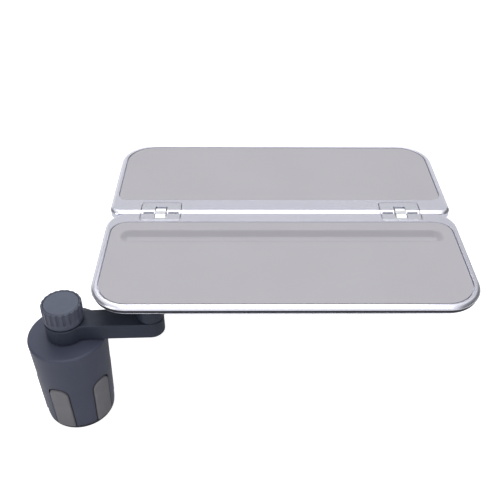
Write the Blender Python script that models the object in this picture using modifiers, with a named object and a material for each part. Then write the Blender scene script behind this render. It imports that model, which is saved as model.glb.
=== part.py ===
"""Folding two-leaf tray on a jointed arm, carried by an expanding base that stands in a cup holder.

Units: the sizes below are millimetres, the model is in metres. +Z is up, +X runs along the tray's width and +Y
points from the front leaf to the rear leaf. The origin is the centre of the base's underside.
"""
import math

import bmesh
import bpy
from mathutils import Matrix, Vector

MM = 0.001

# Clearances
GAP = 0.3
SLIDE_GAP = 0.5

# Base shell and plate
BASE_HEIGHT = 99.5
BASE_TOP_RADIUS = 36.8
BASE_BOTTOM_RADIUS = 33.0
BASE_WALL = 2.5
BASE_TOP_WALL = 3.2
BASE_EDGE_RADIUS = 2.4
BASE_PLATE_THICKNESS = 3.4
BASE_BOSS_RADIUS = 3.6
BASE_BOSS_HEIGHT = 16.0
SCREW_RADIUS = 1.5
SCREW_HEAD_RADIUS = 2.8
SCREW_HEAD_HEIGHT = 1.5

# Jaws
JAW_COUNT = 5
JAW_FIRST_ANGLE = -105.5
JAW_WIDTH = 20.0
JAW_TOP = 57.6
JAW_CORNER_RADIUS = 8.0
JAW_PLATE_THICKNESS = 3.0
JAW_WEB_THICKNESS = 5.0
JAW_GUIDE_WIDTH = 4.6
JAW_GUIDE_HEIGHT = 5.0
JAW_GUIDE_LENGTH = 16.0
JAW_GUIDE_DEPTH = 1.8
PAD_THICKNESS = 1.8
PAD_PROUD = 1.0

# Wedge nut and spindle
WEDGE_SLOPE = 0.3
WEDGE_LIFT = 34.0
WEDGE_TOP_RADIUS = 8.0
FOOT_HEIGHT = 14.0
FOOT_WIDTH = 9.4
FOOT_TOP_DROP = 1.6
FOOT_BACK = 1.6
RAIL_NECK_WIDTH = 2.4
RAIL_HEAD_WIDTH = 5.0
RAIL_NECK_HEIGHT = 1.8
RAIL_HEAD_HEIGHT = 1.8
SPINDLE_RADIUS = 5.0
BEARING_CUP_RADIUS = 9.0
BEARING_CUP_HEIGHT = 3.6
CLIP_RADIUS = 8.5
CLIP_THICKNESS = 1.2
CLIP_GROOVE_DEPTH = 0.8

# Pivot neck and arm
NECK_RADIUS = 9.5
NECK_FLANGE_RADIUS = 15.8
NECK_FLANGE_THICKNESS = 2.6
NECK_SCREW_CIRCLE = 12.7
CIRCLIP_RADIUS = 12.6
CIRCLIP_THICKNESS = 1.3
ARM_LIFT = 1.0
ARM_THICKNESS = 16.8
ARM_ANGLE = 3.1
LOWER_ARM_LENGTH = 79.1
HUB_RADIUS = 18.5
HUB_FILLET = 10.0
LOWER_ARM_HALF_WIDTH = 11.3
ELBOW_RADIUS = 12.5
ARM_EDGE_RADIUS = 1.2
ARM_RIB_WALL = 2.6
ELBOW_ANGLE = 54.9
ELBOW_BOLT_RADIUS = 4.0
ELBOW_HEAD_RADIUS = 7.4
ELBOW_HEAD_HEIGHT = 4.6
ELBOW_CAP_THICKNESS = 1.3
ELBOW_NUT_HEIGHT = 6.0
ELBOW_WASHER_RADIUS = 10.0
ELBOW_WASHER_THICKNESS = 1.1
UPPER_ARM_LENGTH = 84.0
UPPER_ARM_THICKNESS = 13.2
UPPER_ARM_HALF_WIDTH = 10.8
SWIVEL_EYE_RADIUS = 14.0

# Knob
KNOB_RADIUS = 18.4
KNOB_HEIGHT = 18.1
KNOB_WALL = 2.8
KNOB_BOSS_RADIUS = 9.0
KNOB_EDGE_RADIUS = 1.2
KNOB_FLUTES = 20
KNOB_FLUTE_RADIUS = 1.3
KNOB_FLUTE_LENGTH = 12.5
KNOB_CAP_RADIUS = 16.0
KNOB_CAP_THICKNESS = 1.6
KNOB_SCREW_HEAD_RADIUS = 4.2
KNOB_SCREW_HEAD_HEIGHT = 1.8

# Tray swivel
TRAY_OVER_KNOB = 1.5
FLANGE_RADIUS = 28.0
FLANGE_THICKNESS = 3.1
SPIGOT_RADIUS = 6.0
SWIVEL_WASHER_RADIUS = 11.4
SWIVEL_WASHER_THICKNESS = 0.9
PIVOT_WASHER_RADIUS = 9.1
PIVOT_WASHER_THICKNESS = 1.3
PIVOT_HEAD_RADIUS = 5.0
PIVOT_HEAD_HEIGHT = 2.1
FLANGE_SCREW_CIRCLE = 22.0

# Tray leaves
TRAY_WIDTH = 358.0
FRONT_DEPTH = 143.4
REAR_DEPTH = 138.4
LEAF_GAP = 1.2
LEAF_THICKNESS = 12.0
LEAF_EDGE_RADIUS = 4.5
FRONT_HINGE_EDGE_RADIUS = 2.0
OUTER_CORNER_RADIUS = 35.0
FRONT_INNER_CORNER_RADIUS = 22.0
REAR_INNER_CORNER_RADIUS = 11.0
SWIVEL_FROM_LEFT = 98.5
SWIVEL_FROM_FRONT = 96.0
RIM_WIDTH = 5.5
FRONT_HINGE_RIM = 14.0
REAR_HINGE_RIM = 22.5
RIM_HEIGHT = 0.8
INSERT_THICKNESS = 2.0
FLOOR_THICKNESS = 2.2
COVER_THICKNESS = 2.0
COVER_SEAT = 6.0
TROUGH_LENGTH = 324.0
TROUGH_WIDTH = 26.0
TROUGH_DEPTH = 4.0
TROUGH_SLOPE = 10.0
TROUGH_FROM_HINGE = 37.4

# Hinges
HINGE_FROM_CENTRE = 124.0
HINGE_PLATE_WIDTH = 40.6
FRONT_PLATE_DEPTH = 12.8
REAR_PLATE_DEPTH = 17.6
HINGE_PLATE_HEIGHT = 8.5
HINGE_PLATE_CORNER = 4.0
PIN_SPACING = 9.5
PIN_DEPTH = 3.5
PIN_RADIUS = 1.5
PIN_LENGTH = 30.0
LINK_RADIUS = 4.6
LINK_WIDTH = 10.6
LINK_WAIST = 3.9

# Heights and places that follow from the sizes
PLATE_TOP = BASE_PLATE_THICKNESS
SHELL_BOTTOM = PLATE_TOP + GAP
HUB_BOTTOM = BASE_HEIGHT + ARM_LIFT
HUB_TOP = HUB_BOTTOM + ARM_THICKNESS
KNOB_BOTTOM = HUB_TOP + 1.1
KNOB_TOP = KNOB_BOTTOM + KNOB_HEIGHT
UPPER_BOTTOM = HUB_TOP + 2 * GAP
UPPER_TOP = UPPER_BOTTOM + UPPER_ARM_THICKNESS
TRAY_BOTTOM = KNOB_TOP + TRAY_OVER_KNOB
TRAY_TOP = TRAY_BOTTOM + LEAF_THICKNESS
FLANGE_TOP = TRAY_BOTTOM - GAP
FLANGE_BOTTOM = FLANGE_TOP - FLANGE_THICKNESS
SWIVEL_BOSS_TOP = FLANGE_BOTTOM - 2 * GAP - SWIVEL_WASHER_THICKNESS
FOOT_TOP = JAW_TOP - FOOT_TOP_DROP
WEDGE_HEIGHT = FOOT_HEIGHT + WEDGE_LIFT
WEDGE_BOTTOM = FOOT_TOP - WEDGE_HEIGHT
RAIL_HEIGHT = RAIL_NECK_HEIGHT + RAIL_HEAD_HEIGHT
FLANGE_BASE = BASE_HEIGHT + GAP
NECK_TOP = HUB_TOP - GAP
TRAY_CENTRE_X = TRAY_WIDTH / 2 - SWIVEL_FROM_LEFT
HINGE_Y = FRONT_DEPTH + LEAF_GAP / 2 - SWIVEL_FROM_FRONT
PIN_Z = TRAY_TOP - PIN_DEPTH
INSERT_TOP = TRAY_TOP - RIM_HEIGHT
INSERT_BOTTOM = INSERT_TOP - INSERT_THICKNESS
FLOOR_TOP = INSERT_BOTTOM - GAP
FLOOR_BOTTOM = FLOOR_TOP - FLOOR_THICKNESS
COVER_TOP = TRAY_BOTTOM + COVER_THICKNESS


# Scene helpers
def clear_scene():
    for obj in list(bpy.data.objects):
        bpy.data.objects.remove(obj, do_unlink=True)
    for name in ("cup_holder_tray", "cutters"):
        if name not in bpy.data.collections:
            bpy.context.scene.collection.children.link(bpy.data.collections.new(name))


def linear(channel):
    return channel / 12.92 if channel <= 0.04045 else ((channel + 0.055) / 1.055) ** 2.4


def paint(obj, colour, roughness, metallic=0.0):
    mat = bpy.data.materials.new(obj.name + "_material")
    mat.use_nodes = True
    shader = mat.node_tree.nodes["Principled BSDF"]
    rgb = [linear(int(colour[i:i + 2], 16) / 255) for i in (0, 2, 4)]
    shader.inputs["Base Color"].default_value = (*rgb, 1.0)
    shader.inputs["Roughness"].default_value = roughness
    shader.inputs["Metallic"].default_value = metallic
    obj.data.materials.clear()
    obj.data.materials.append(mat)
    obj.color = (*rgb, 1.0)


def add_object(name, mesh, parent):
    obj = bpy.data.objects.new(name, mesh)
    bpy.data.collections["cup_holder_tray"].objects.link(obj)
    obj.parent = parent
    return obj


def axis_empty(name, parent, location=(0, 0, 0), angle=0.0):
    obj = bpy.data.objects.new(name, None)
    bpy.data.collections["cup_holder_tray"].objects.link(obj)
    obj.parent = parent
    obj.location = Vector(location) * MM
    obj.rotation_euler.z = math.radians(angle)
    return obj


def boolean(target, tool, operation):
    mod = target.modifiers.new(operation.title(), "BOOLEAN")
    mod.operation = operation
    mod.object = tool
    mod.solver = "EXACT"
    if tool.name not in bpy.data.collections["cutters"].objects:
        bpy.data.collections["cup_holder_tray"].objects.unlink(tool)
        bpy.data.collections["cutters"].objects.link(tool)
    tool.hide_render = True
    tool.display_type = "WIRE"


def cut(target, *tools):
    for tool in tools:
        boolean(target, tool, "DIFFERENCE")


def join(target, *tools):
    for tool in tools:
        boolean(target, tool, "UNION")


def keep_inside(target, tool):
    boolean(target, tool, "INTERSECT")


def round_edges(obj, width, segments=2, angle=50):
    mod = obj.modifiers.new("Bevel", "BEVEL")
    mod.width = width * MM
    mod.segments = segments
    mod.limit_method = "ANGLE"
    mod.angle_limit = math.radians(angle)


# Mesh helpers, sizes in millimetres
def finish(bm, name, parent, smooth):
    bmesh.ops.recalc_face_normals(bm, faces=bm.faces)
    mesh = bpy.data.meshes.new(name)
    bm.to_mesh(mesh)
    bm.free()
    if smooth:
        mesh.shade_smooth()
        mesh.set_sharp_from_angle(angle=math.radians(35))
    return add_object(name, mesh, parent)


def box(name, x, y, z, parent=None):
    bm = bmesh.new()
    size = Vector((x[1] - x[0], y[1] - y[0], z[1] - z[0])) * MM
    centre = Vector((x[0] + x[1], y[0] + y[1], z[0] + z[1])) * MM / 2
    bmesh.ops.create_cube(bm, size=1, matrix=Matrix.LocRotScale(centre, None, size))
    return finish(bm, name, parent, False)


def cylinders(name, spots, radius, z0, z1, parent=None, segments=14, top_radius=None):
    """One mesh with an upright cylinder, or a cone, on each spot."""
    bm = bmesh.new()
    upper = radius if top_radius is None else top_radius
    for x, y in spots:
        place = Matrix.Translation(Vector((x, y, (z0 + z1) / 2)) * MM) @ Matrix.Rotation(math.pi / segments, 4, "Z")
        bmesh.ops.create_cone(bm, cap_ends=True, segments=segments, radius1=radius * MM,
                              radius2=upper * MM, depth=(z1 - z0) * MM, matrix=place)
    return finish(bm, name, parent, True)


def across(name, radius, x0, x1, y, z, parent=None, segments=16):
    """A cylinder that lies along X."""
    bm = bmesh.new()
    place = Matrix.Translation(Vector(((x0 + x1) / 2, y, z)) * MM) @ Matrix.Rotation(math.pi / 2, 4, "Y")
    bmesh.ops.create_cone(bm, cap_ends=True, segments=segments, radius1=radius * MM, radius2=radius * MM,
                          depth=(x1 - x0) * MM, matrix=place)
    return finish(bm, name, parent, True)


def turned(name, profile, parent=None, steps=32, closed=True):
    """A profile of radius and height spun round Z. It runs down the outer side."""
    mesh = bpy.data.meshes.new(name)
    count = len(profile)
    edges = [(i, (i + 1) % count) for i in range(count if closed else count - 1)]
    mesh.from_pydata([(r * MM, 0, z * MM) for r, z in profile], edges, [])
    obj = add_object(name, mesh, parent)
    mod = obj.modifiers.new("Screw", "SCREW")
    mod.steps = steps
    mod.render_steps = steps
    mod.use_merge_vertices = True
    mod.merge_threshold = 0.000001
    mod.use_smooth_shade = True
    return obj


def flat(name, outlines, z0, z1, parent=None, turn=None):
    """A flat piece of even thickness from closed outlines in its own plane, then turned by a matrix."""
    curve = bpy.data.curves.new(name, "CURVE")
    curve.dimensions = "2D"
    curve.fill_mode = "BOTH"
    curve.extrude = (z1 - z0) / 2 * MM
    for outline in outlines:
        spline = curve.splines.new("POLY")
        spline.points.add(len(outline) - 1)
        spline.use_cyclic_u = True
        for point, place in zip(spline.points, outline):
            point.co = (place[0] * MM, place[1] * MM, 0, 1)
    guide = bpy.data.objects.new(name + "_outline", curve)
    bpy.data.collections["cutters"].objects.link(guide)
    guide.location.z = (z0 + z1) / 2 * MM
    graph = bpy.context.evaluated_depsgraph_get()
    mesh = bpy.data.meshes.new_from_object(guide.evaluated_get(graph))
    bm = bmesh.new()
    bm.from_mesh(mesh)
    bmesh.ops.transform(bm, matrix=guide.matrix_world, verts=bm.verts)
    bmesh.ops.remove_doubles(bm, verts=bm.verts, dist=0.000002)
    if turn is not None:
        bmesh.ops.transform(bm, matrix=turn, verts=bm.verts)
    bpy.data.objects.remove(guide)
    bpy.data.curves.remove(curve)
    bpy.data.meshes.remove(mesh)
    return finish(bm, name, parent, False)


def loft(name, rings, parent=None):
    """A closed solid through rings of equal count, capped at both ends."""
    bm = bmesh.new()
    loops = [[bm.verts.new(Vector(p) * MM) for p in ring] for ring in rings]
    count = len(rings[0])
    for lower, upper in zip(loops, loops[1:]):
        for i in range(count):
            k = (i + 1) % count
            bm.faces.new((lower[i], lower[k], upper[k], upper[i]))
    bm.faces.new(list(reversed(loops[0])))
    bm.faces.new(loops[-1])
    return finish(bm, name, parent, True)


# Outlines, each a list of points in millimetres
def arc(cx, cy, radius, start, end, steps):
    angles = [math.radians(start + (end - start) * k / steps) for k in range(steps + 1)]
    return [(cx + radius * math.cos(a), cy + radius * math.sin(a)) for a in angles]


def rounded_rectangle(x0, x1, y0, y1, radii, steps=5):
    """Outline with its own radius at each corner: front left, front right, rear right, rear left."""
    a, b, c, d = radii
    return (arc(x0 + a, y0 + a, a, 180, 270, steps) + arc(x1 - b, y0 + b, b, 270, 360, steps)
            + arc(x1 - c, y1 - c, c, 0, 90, steps) + arc(x0 + d, y1 - d, d, 90, 180, steps))


def stadium(cx, cy, length, width, steps=6):
    half = (length - width) / 2
    return (arc(cx + half, cy, width / 2, -90, 90, steps) + arc(cx - half, cy, width / 2, 90, 270, steps))


def around(radius, count, first=0.0):
    angles = [math.radians(first + 360 * k / count) for k in range(count)]
    return [(radius * math.cos(a), radius * math.sin(a)) for a in angles]


def arm_outline(hub, hub_fillet, half_width, eye, length, steps=6):
    """A bar that flares into a round hub at the origin and ends in a round eye."""
    centre_x = math.sqrt((hub + hub_fillet) ** 2 - (half_width + hub_fillet) ** 2)
    touch = math.degrees(math.atan2(half_width + hub_fillet, centre_x))
    points = arc(0, 0, hub, touch, 360 - touch, 4 * steps)
    points += arc(centre_x, -half_width - hub_fillet, hub_fillet, 180 - touch, 90, steps // 2)[1:]
    points += arc(length, 0, eye, -90, 90, 2 * steps)
    points += arc(centre_x, half_width + hub_fillet, hub_fillet, 270, 180 + touch, steps // 2)[:-1]
    return points


def side_plane():
    """Turns an outline drawn in X and Y into one in X and Z, with its thickness along Y."""
    return Matrix.Rotation(math.pi / 2, 4, "X")


def radial_plane():
    """Turns an outline drawn in X and Y into one in Y and Z, with its thickness along X."""
    return Matrix.Rotation(math.pi / 2, 4, "Z") @ Matrix.Rotation(math.pi / 2, 4, "X")


# Base
def shell_radius(z):
    return BASE_BOTTOM_RADIUS + (BASE_TOP_RADIUS - BASE_BOTTOM_RADIUS) * z / BASE_HEIGHT


def wedge_radius(z):
    """Radius of the wedge's cone at a height, with the wedge at its lowest."""
    return WEDGE_TOP_RADIUS + (FOOT_TOP - z) * WEDGE_SLOPE


def jaw_angle(index):
    return JAW_FIRST_ANGLE + 360 * index / JAW_COUNT


def arch(half_width, bottom, top, corner):
    """Outline of a jaw or its window: straight sides and a rounded top."""
    return ([(-half_width, bottom), (half_width, bottom)]
            + arc(half_width - corner, top - corner, corner, 0, 90, 4)
            + arc(-half_width + corner, top - corner, corner, 90, 180, 4))


def make_base_shell(parent):
    edge = arc(BASE_TOP_RADIUS - BASE_EDGE_RADIUS, BASE_HEIGHT - BASE_EDGE_RADIUS, BASE_EDGE_RADIUS, 90, 0, 2)
    hole = SPINDLE_RADIUS + 5 * GAP
    inner_top = BASE_HEIGHT - BASE_TOP_WALL
    profile = [(hole, BASE_HEIGHT), *edge, (shell_radius(SHELL_BOTTOM), SHELL_BOTTOM),
               (shell_radius(SHELL_BOTTOM) - BASE_WALL, SHELL_BOTTOM),
               (shell_radius(inner_top) - BASE_WALL, inner_top), (hole, inner_top)]
    shell = turned("base_shell", profile, parent, 42)
    bosses = cylinders("shell_bosses", boss_spots(), BASE_BOSS_RADIUS, SHELL_BOTTOM + 0.05,
                       SHELL_BOTTOM + BASE_BOSS_HEIGHT, parent, 8)
    neck_bosses = cylinders("shell_neck_bosses", neck_screw_spots(), SCREW_HEAD_RADIUS + 2 * GAP,
                            inner_top - BASE_EDGE_RADIUS - BASE_TOP_WALL, inner_top + BASE_TOP_WALL / 2, parent, 8)
    join(shell, bosses, neck_bosses)
    for k in range(JAW_COUNT):
        window = flat(f"window_{k + 1}", [arch(JAW_WIDTH / 2 + SLIDE_GAP, -1, JAW_TOP + SLIDE_GAP,
                                               JAW_CORNER_RADIUS + SLIDE_GAP)],
                      BASE_BOTTOM_RADIUS * 0.62, BASE_TOP_RADIUS + 8, parent,
                      Matrix.Rotation(math.radians(jaw_angle(k)), 4, "Z") @ radial_plane())
        cut(shell, window)
    cut(shell, cylinders("boss_holes", boss_spots(), SCREW_RADIUS + GAP, 0,
                         SHELL_BOTTOM + BASE_BOSS_HEIGHT - 2 * SCREW_RADIUS, parent, 8))
    cut(shell, cylinders("neck_boss_holes", neck_screw_spots(), SCREW_RADIUS + GAP, neck_screw_tip() - GAP,
                         BASE_HEIGHT + 1, parent, 8))
    paint(shell, "4E505C", 0.42)


def boss_spots():
    radius = BASE_BOTTOM_RADIUS - BASE_WALL - 0.75 * BASE_BOSS_RADIUS
    return around(radius, JAW_COUNT, JAW_FIRST_ANGLE + 180 / JAW_COUNT)


def neck_screw_spots():
    return around(NECK_SCREW_CIRCLE, 3, 30)


def neck_screw_tip():
    return BASE_HEIGHT - BASE_TOP_WALL - BASE_EDGE_RADIUS


def make_base_plate(parent):
    rim = BASE_BOTTOM_RADIUS - GAP
    cup_top = PLATE_TOP + BEARING_CUP_HEIGHT
    bore = SPINDLE_RADIUS + GAP
    profile = [(0, PLATE_TOP / 2), (bore, PLATE_TOP / 2), (bore, cup_top), (BEARING_CUP_RADIUS, cup_top),
               (BEARING_CUP_RADIUS, PLATE_TOP), (rim, PLATE_TOP), (rim, 0.8), (rim - 0.8, 0), (0, 0)]
    plate = turned("base_plate", profile, parent, 28, closed=False)
    for k in range(JAW_COUNT):
        groove = box(f"groove_{k + 1}", (jaw_guide_inner() - SLIDE_GAP, rim + 5),
                     (-JAW_GUIDE_WIDTH / 2 - GAP, JAW_GUIDE_WIDTH / 2 + GAP),
                     (PLATE_TOP - JAW_GUIDE_DEPTH - GAP, PLATE_TOP + 5), parent)
        groove.rotation_euler.z = math.radians(jaw_angle(k))
        cut(plate, groove)
    cut(plate, cylinders("plate_screw_holes", boss_spots(), SCREW_RADIUS + GAP, -1, PLATE_TOP + 1, parent, 8))
    cut(plate, cylinders("plate_sinks", boss_spots(), SCREW_HEAD_RADIUS + 2 * GAP, -1, SCREW_HEAD_HEIGHT + 2 * GAP,
                         parent, 8))
    paint(plate, "3E4048", 0.5)


def make_screw(name, x, y, head_z, tip_z, parent, head_radius=SCREW_HEAD_RADIUS, shank=SCREW_RADIUS,
               head_height=SCREW_HEAD_HEIGHT):
    """Countersunk screw. head_z is the flat face of the head, tip_z the end of the shank."""
    up = tip_z > head_z
    side = 1 if up else -1
    under = head_z + side * head_height
    profile = [(0, tip_z), (shank, tip_z - side * 0.8), (shank, under), (head_radius, head_z), (0, head_z)]
    if not up:
        profile.reverse()
    screw = turned(name, profile, parent, 8, closed=False)
    screw.location = (x * MM, y * MM, 0)
    paint(screw, "8A8C90", 0.35, 0.9)
    return screw


def make_jaw(index, parent):
    base = JAW_GUIDE_DEPTH
    face = BASE_BOTTOM_RADIUS + PAD_PROUD - PAD_THICKNESS - GAP
    slope = (BASE_TOP_RADIUS - BASE_BOTTOM_RADIUS) / BASE_HEIGHT
    bottom = PLATE_TOP + SLIDE_GAP
    outline = arch(JAW_WIDTH / 2, bottom, JAW_TOP, JAW_CORNER_RADIUS)
    jaw = flat(f"jaw_{index + 1}", [outline], BASE_BOTTOM_RADIUS * 0.5, BASE_TOP_RADIUS + 8, parent, radial_plane())
    ring = turned(f"jaw_ring_{index + 1}", [
        (face + slope * (JAW_TOP + 5), JAW_TOP + 5), (face, 0), (face - JAW_PLATE_THICKNESS, 0),
        (face + slope * (JAW_TOP + 5) - JAW_PLATE_THICKNESS, JAW_TOP + 5)], parent, 40)
    keep_inside(jaw, ring)
    web_bottom = PLATE_TOP + JAW_GUIDE_HEIGHT - JAW_GUIDE_DEPTH - 0.6
    back = RAIL_HEIGHT + 2 * GAP
    web = flat(f"jaw_web_{index + 1}", [[
        (wedge_radius(web_bottom) + back, web_bottom), (face - JAW_PLATE_THICKNESS / 2, web_bottom),
        (face + slope * FOOT_TOP - JAW_PLATE_THICKNESS / 2, FOOT_TOP - 0.4),
        (wedge_radius(FOOT_TOP - 0.4) + back, FOOT_TOP - 0.4)]],
        -JAW_WEB_THICKNESS / 2, JAW_WEB_THICKNESS / 2, parent, side_plane())
    foot_bottom = FOOT_TOP - FOOT_HEIGHT
    foot = flat(f"jaw_foot_{index + 1}", [[
        (wedge_radius(foot_bottom) + GAP, foot_bottom),
        (wedge_radius(foot_bottom) + RAIL_HEIGHT + GAP + FOOT_BACK, foot_bottom),
        (wedge_radius(FOOT_TOP) + RAIL_HEIGHT + GAP + FOOT_BACK, FOOT_TOP),
        (wedge_radius(FOOT_TOP) + GAP, FOOT_TOP)]],
        -FOOT_WIDTH / 2, FOOT_WIDTH / 2, parent, side_plane())
    guide = box(f"jaw_guide_{index + 1}", (jaw_guide_inner(), jaw_guide_inner() + JAW_GUIDE_LENGTH),
                (-JAW_GUIDE_WIDTH / 2, JAW_GUIDE_WIDTH / 2),
                (PLATE_TOP - base, PLATE_TOP - base + JAW_GUIDE_HEIGHT), parent)
    join(jaw, web, foot, guide)
    slot = flat(f"jaw_slot_{index + 1}", [rail_outline(GAP)], 0, FOOT_HEIGHT + 4, parent,
                rail_shear(foot_bottom - 2))
    cut(jaw, slot)
    paint(jaw, "55565C", 0.5)
    pad = flat(f"jaw_pad_{index + 1}", [outline], BASE_BOTTOM_RADIUS * 0.5, BASE_TOP_RADIUS + 8, parent,
               radial_plane())
    high = JAW_TOP + 5
    keep_inside(pad, turned(f"pad_ring_{index + 1}", [
        (face + GAP + PAD_THICKNESS + slope * high, high), (face + GAP + PAD_THICKNESS, 0), (face + GAP, 0),
        (face + GAP + slope * high, high)], parent, 40))
    paint(pad, "69686C", 0.8)


def jaw_guide_inner():
    return BASE_BOTTOM_RADIUS + PAD_PROUD - PAD_THICKNESS - GAP - 0.5 * JAW_PLATE_THICKNESS - JAW_GUIDE_LENGTH


def rail_outline(clearance):
    """Section of a T rail: neck from inside the cone, then the head."""
    neck = RAIL_NECK_WIDTH / 2 + clearance
    head = RAIL_HEAD_WIDTH / 2 + clearance
    under = RAIL_NECK_HEIGHT - clearance
    top = RAIL_HEIGHT + clearance
    return [(-1.5, -neck), (under, -neck), (under, -head), (top, -head), (top, head), (under, head),
            (under, neck), (-1.5, neck)]


def rail_shear(z):
    """Leans an upright rail along the cone, its foot at height z on the cone's surface."""
    lean = Matrix(((1, 0, -WEDGE_SLOPE, wedge_radius(z) * MM), (0, 1, 0, 0), (0, 0, 1, z * MM), (0, 0, 0, 1)))
    return lean


def make_wedge_nut(parent):
    nut = cylinders("wedge_nut", [(0, 0)], wedge_radius(WEDGE_BOTTOM), WEDGE_BOTTOM, FOOT_TOP, parent, 26,
                    WEDGE_TOP_RADIUS)
    for k in range(JAW_COUNT):
        rail = flat(f"rail_{k + 1}", [rail_outline(0)], 0, WEDGE_HEIGHT - 1, parent,
                    Matrix.Rotation(math.radians(jaw_angle(k)), 4, "Z") @ rail_shear(WEDGE_BOTTOM + 0.5))
        join(nut, rail)
    cut(nut, cylinders("wedge_bore", [(0, 0)], SPINDLE_RADIUS + GAP, WEDGE_BOTTOM - 1, FOOT_TOP + 1, parent, 20))
    paint(nut, "C9C6BC", 0.45)


def spindle_top():
    return KNOB_TOP - KNOB_CAP_THICKNESS - KNOB_SCREW_HEAD_HEIGHT - 4 * GAP - 2.4


def make_spindle(parent):
    low = PLATE_TOP / 2 + GAP
    clip_z = BASE_HEIGHT - BASE_TOP_WALL - GAP - CLIP_THICKNESS
    groove = SPINDLE_RADIUS - CLIP_GROOVE_DEPTH
    hole = SCREW_RADIUS + GAP + 0.4
    top = spindle_top()
    profile = [(0, top - 12), (hole, top - 12), (hole, top), (SPINDLE_RADIUS - 0.6, top), (SPINDLE_RADIUS, top - 0.6),
               (SPINDLE_RADIUS, clip_z + CLIP_THICKNESS + GAP), (groove, clip_z + CLIP_THICKNESS + GAP),
               (groove, clip_z - GAP), (SPINDLE_RADIUS, clip_z - GAP), (SPINDLE_RADIUS, low + 0.8),
               (SPINDLE_RADIUS - 0.8, low), (0, low)]
    spindle = turned("spindle", profile, parent, 14, closed=False)
    paint(spindle, "A9ABB0", 0.3, 1.0)
    clip = flat("spindle_clip", [ring_outline(groove + GAP, CLIP_RADIUS, 30)], clip_z, clip_z + CLIP_THICKNESS,
                parent)
    paint(clip, "3A3A3C", 0.4, 0.9)


def ring_outline(inner, outer, opening):
    """Outline of an open retaining ring."""
    return arc(0, 0, outer, opening, 360 - opening, 16) + arc(0, 0, inner, 360 - opening, opening, 16)


def make_knob(parent):
    z0, z1 = KNOB_BOTTOM, KNOB_TOP
    seat = z1 - KNOB_CAP_THICKNESS - GAP
    sink = seat - KNOB_SCREW_HEAD_HEIGHT - 2 * GAP
    bore_top = spindle_top() + GAP
    edge = arc(KNOB_RADIUS - KNOB_EDGE_RADIUS, z1 - KNOB_EDGE_RADIUS, KNOB_EDGE_RADIUS, 90, 0, 2)
    hole = SCREW_RADIUS + GAP + 0.7
    bore = SPINDLE_RADIUS + GAP
    boss_bottom = HUB_TOP + GAP
    profile = [(KNOB_CAP_RADIUS + GAP, z1), *edge, (KNOB_RADIUS, z0 + 2.5), (KNOB_RADIUS - 0.9, z0),
               (KNOB_RADIUS - KNOB_WALL, z0), (KNOB_RADIUS - KNOB_WALL, sink - KNOB_WALL),
               (KNOB_BOSS_RADIUS, sink - KNOB_WALL), (KNOB_BOSS_RADIUS, boss_bottom), (bore, boss_bottom),
               (bore, bore_top), (hole, bore_top), (hole, sink), (KNOB_SCREW_HEAD_RADIUS + GAP, sink),
               (KNOB_SCREW_HEAD_RADIUS + GAP, seat), (KNOB_CAP_RADIUS + GAP, seat)]
    knob = turned("knob", profile, parent, 30)
    flutes = cylinders("knob_flutes", around(KNOB_RADIUS + 0.45 * KNOB_FLUTE_RADIUS, KNOB_FLUTES),
                       KNOB_FLUTE_RADIUS, z1 - KNOB_FLUTE_LENGTH, z1 + 2, parent, 5)
    cut(knob, flutes)
    paint(knob, "5A5C66", 0.4)
    cap = turned("knob_cap", [(0, z1), (KNOB_CAP_RADIUS - 0.5, z1), (KNOB_CAP_RADIUS, z1 - 0.5),
                              (KNOB_CAP_RADIUS, z1 - KNOB_CAP_THICKNESS), (0, z1 - KNOB_CAP_THICKNESS)],
                 parent, 32, closed=False)
    paint(cap, "686C7A", 0.35)
    head_top = seat - GAP
    screw = turned("knob_screw", [
        (0, head_top), (KNOB_SCREW_HEAD_RADIUS, head_top), (KNOB_SCREW_HEAD_RADIUS, head_top - KNOB_SCREW_HEAD_HEIGHT),
        (SCREW_RADIUS + 0.4, head_top - KNOB_SCREW_HEAD_HEIGHT), (SCREW_RADIUS + 0.4, spindle_top() - 10),
        (0, spindle_top() - 10.5)], parent, 12, closed=False)
    paint(screw, "8A8C90", 0.35, 0.9)


def make_neck(parent):
    bore = SPINDLE_RADIUS + GAP + 0.1
    flange_top = FLANGE_BASE + NECK_FLANGE_THICKNESS
    clip_z = NECK_TOP - CIRCLIP_THICKNESS - 1.2
    groove = NECK_RADIUS - 1
    profile = [(bore, NECK_TOP), (NECK_RADIUS - 0.6, NECK_TOP), (NECK_RADIUS, NECK_TOP - 0.6),
               (NECK_RADIUS, clip_z + CIRCLIP_THICKNESS + 0.2), (groove, clip_z + CIRCLIP_THICKNESS + 0.2),
               (groove, clip_z - 0.2), (NECK_RADIUS, clip_z - 0.2), (NECK_RADIUS, flange_top),
               (NECK_FLANGE_RADIUS, flange_top), (NECK_FLANGE_RADIUS, FLANGE_BASE), (bore, FLANGE_BASE)]
    neck = turned("pivot_neck", profile, parent, 22)
    cut(neck, cylinders("neck_holes", neck_screw_spots(), SCREW_RADIUS + GAP, FLANGE_BASE - 1, flange_top + 1, parent, 8))
    cut(neck, cylinders("neck_sinks", neck_screw_spots(), SCREW_HEAD_RADIUS + 2 * GAP,
                        flange_top - SCREW_HEAD_HEIGHT - 2 * GAP, flange_top + 0.5, parent, 8))
    paint(neck, "B9BABE", 0.4, 0.8)
    for k, (x, y) in enumerate(neck_screw_spots()):
        make_screw(f"neck_screw_{k + 1}", x, y, flange_top - 0.1, neck_screw_tip(), parent)
    clip = flat("hub_circlip", [ring_outline(groove + GAP, CIRCLIP_RADIUS, 35)], clip_z, clip_z + CIRCLIP_THICKNESS,
                parent)
    paint(clip, "3A3A3C", 0.4, 0.9)


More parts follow.
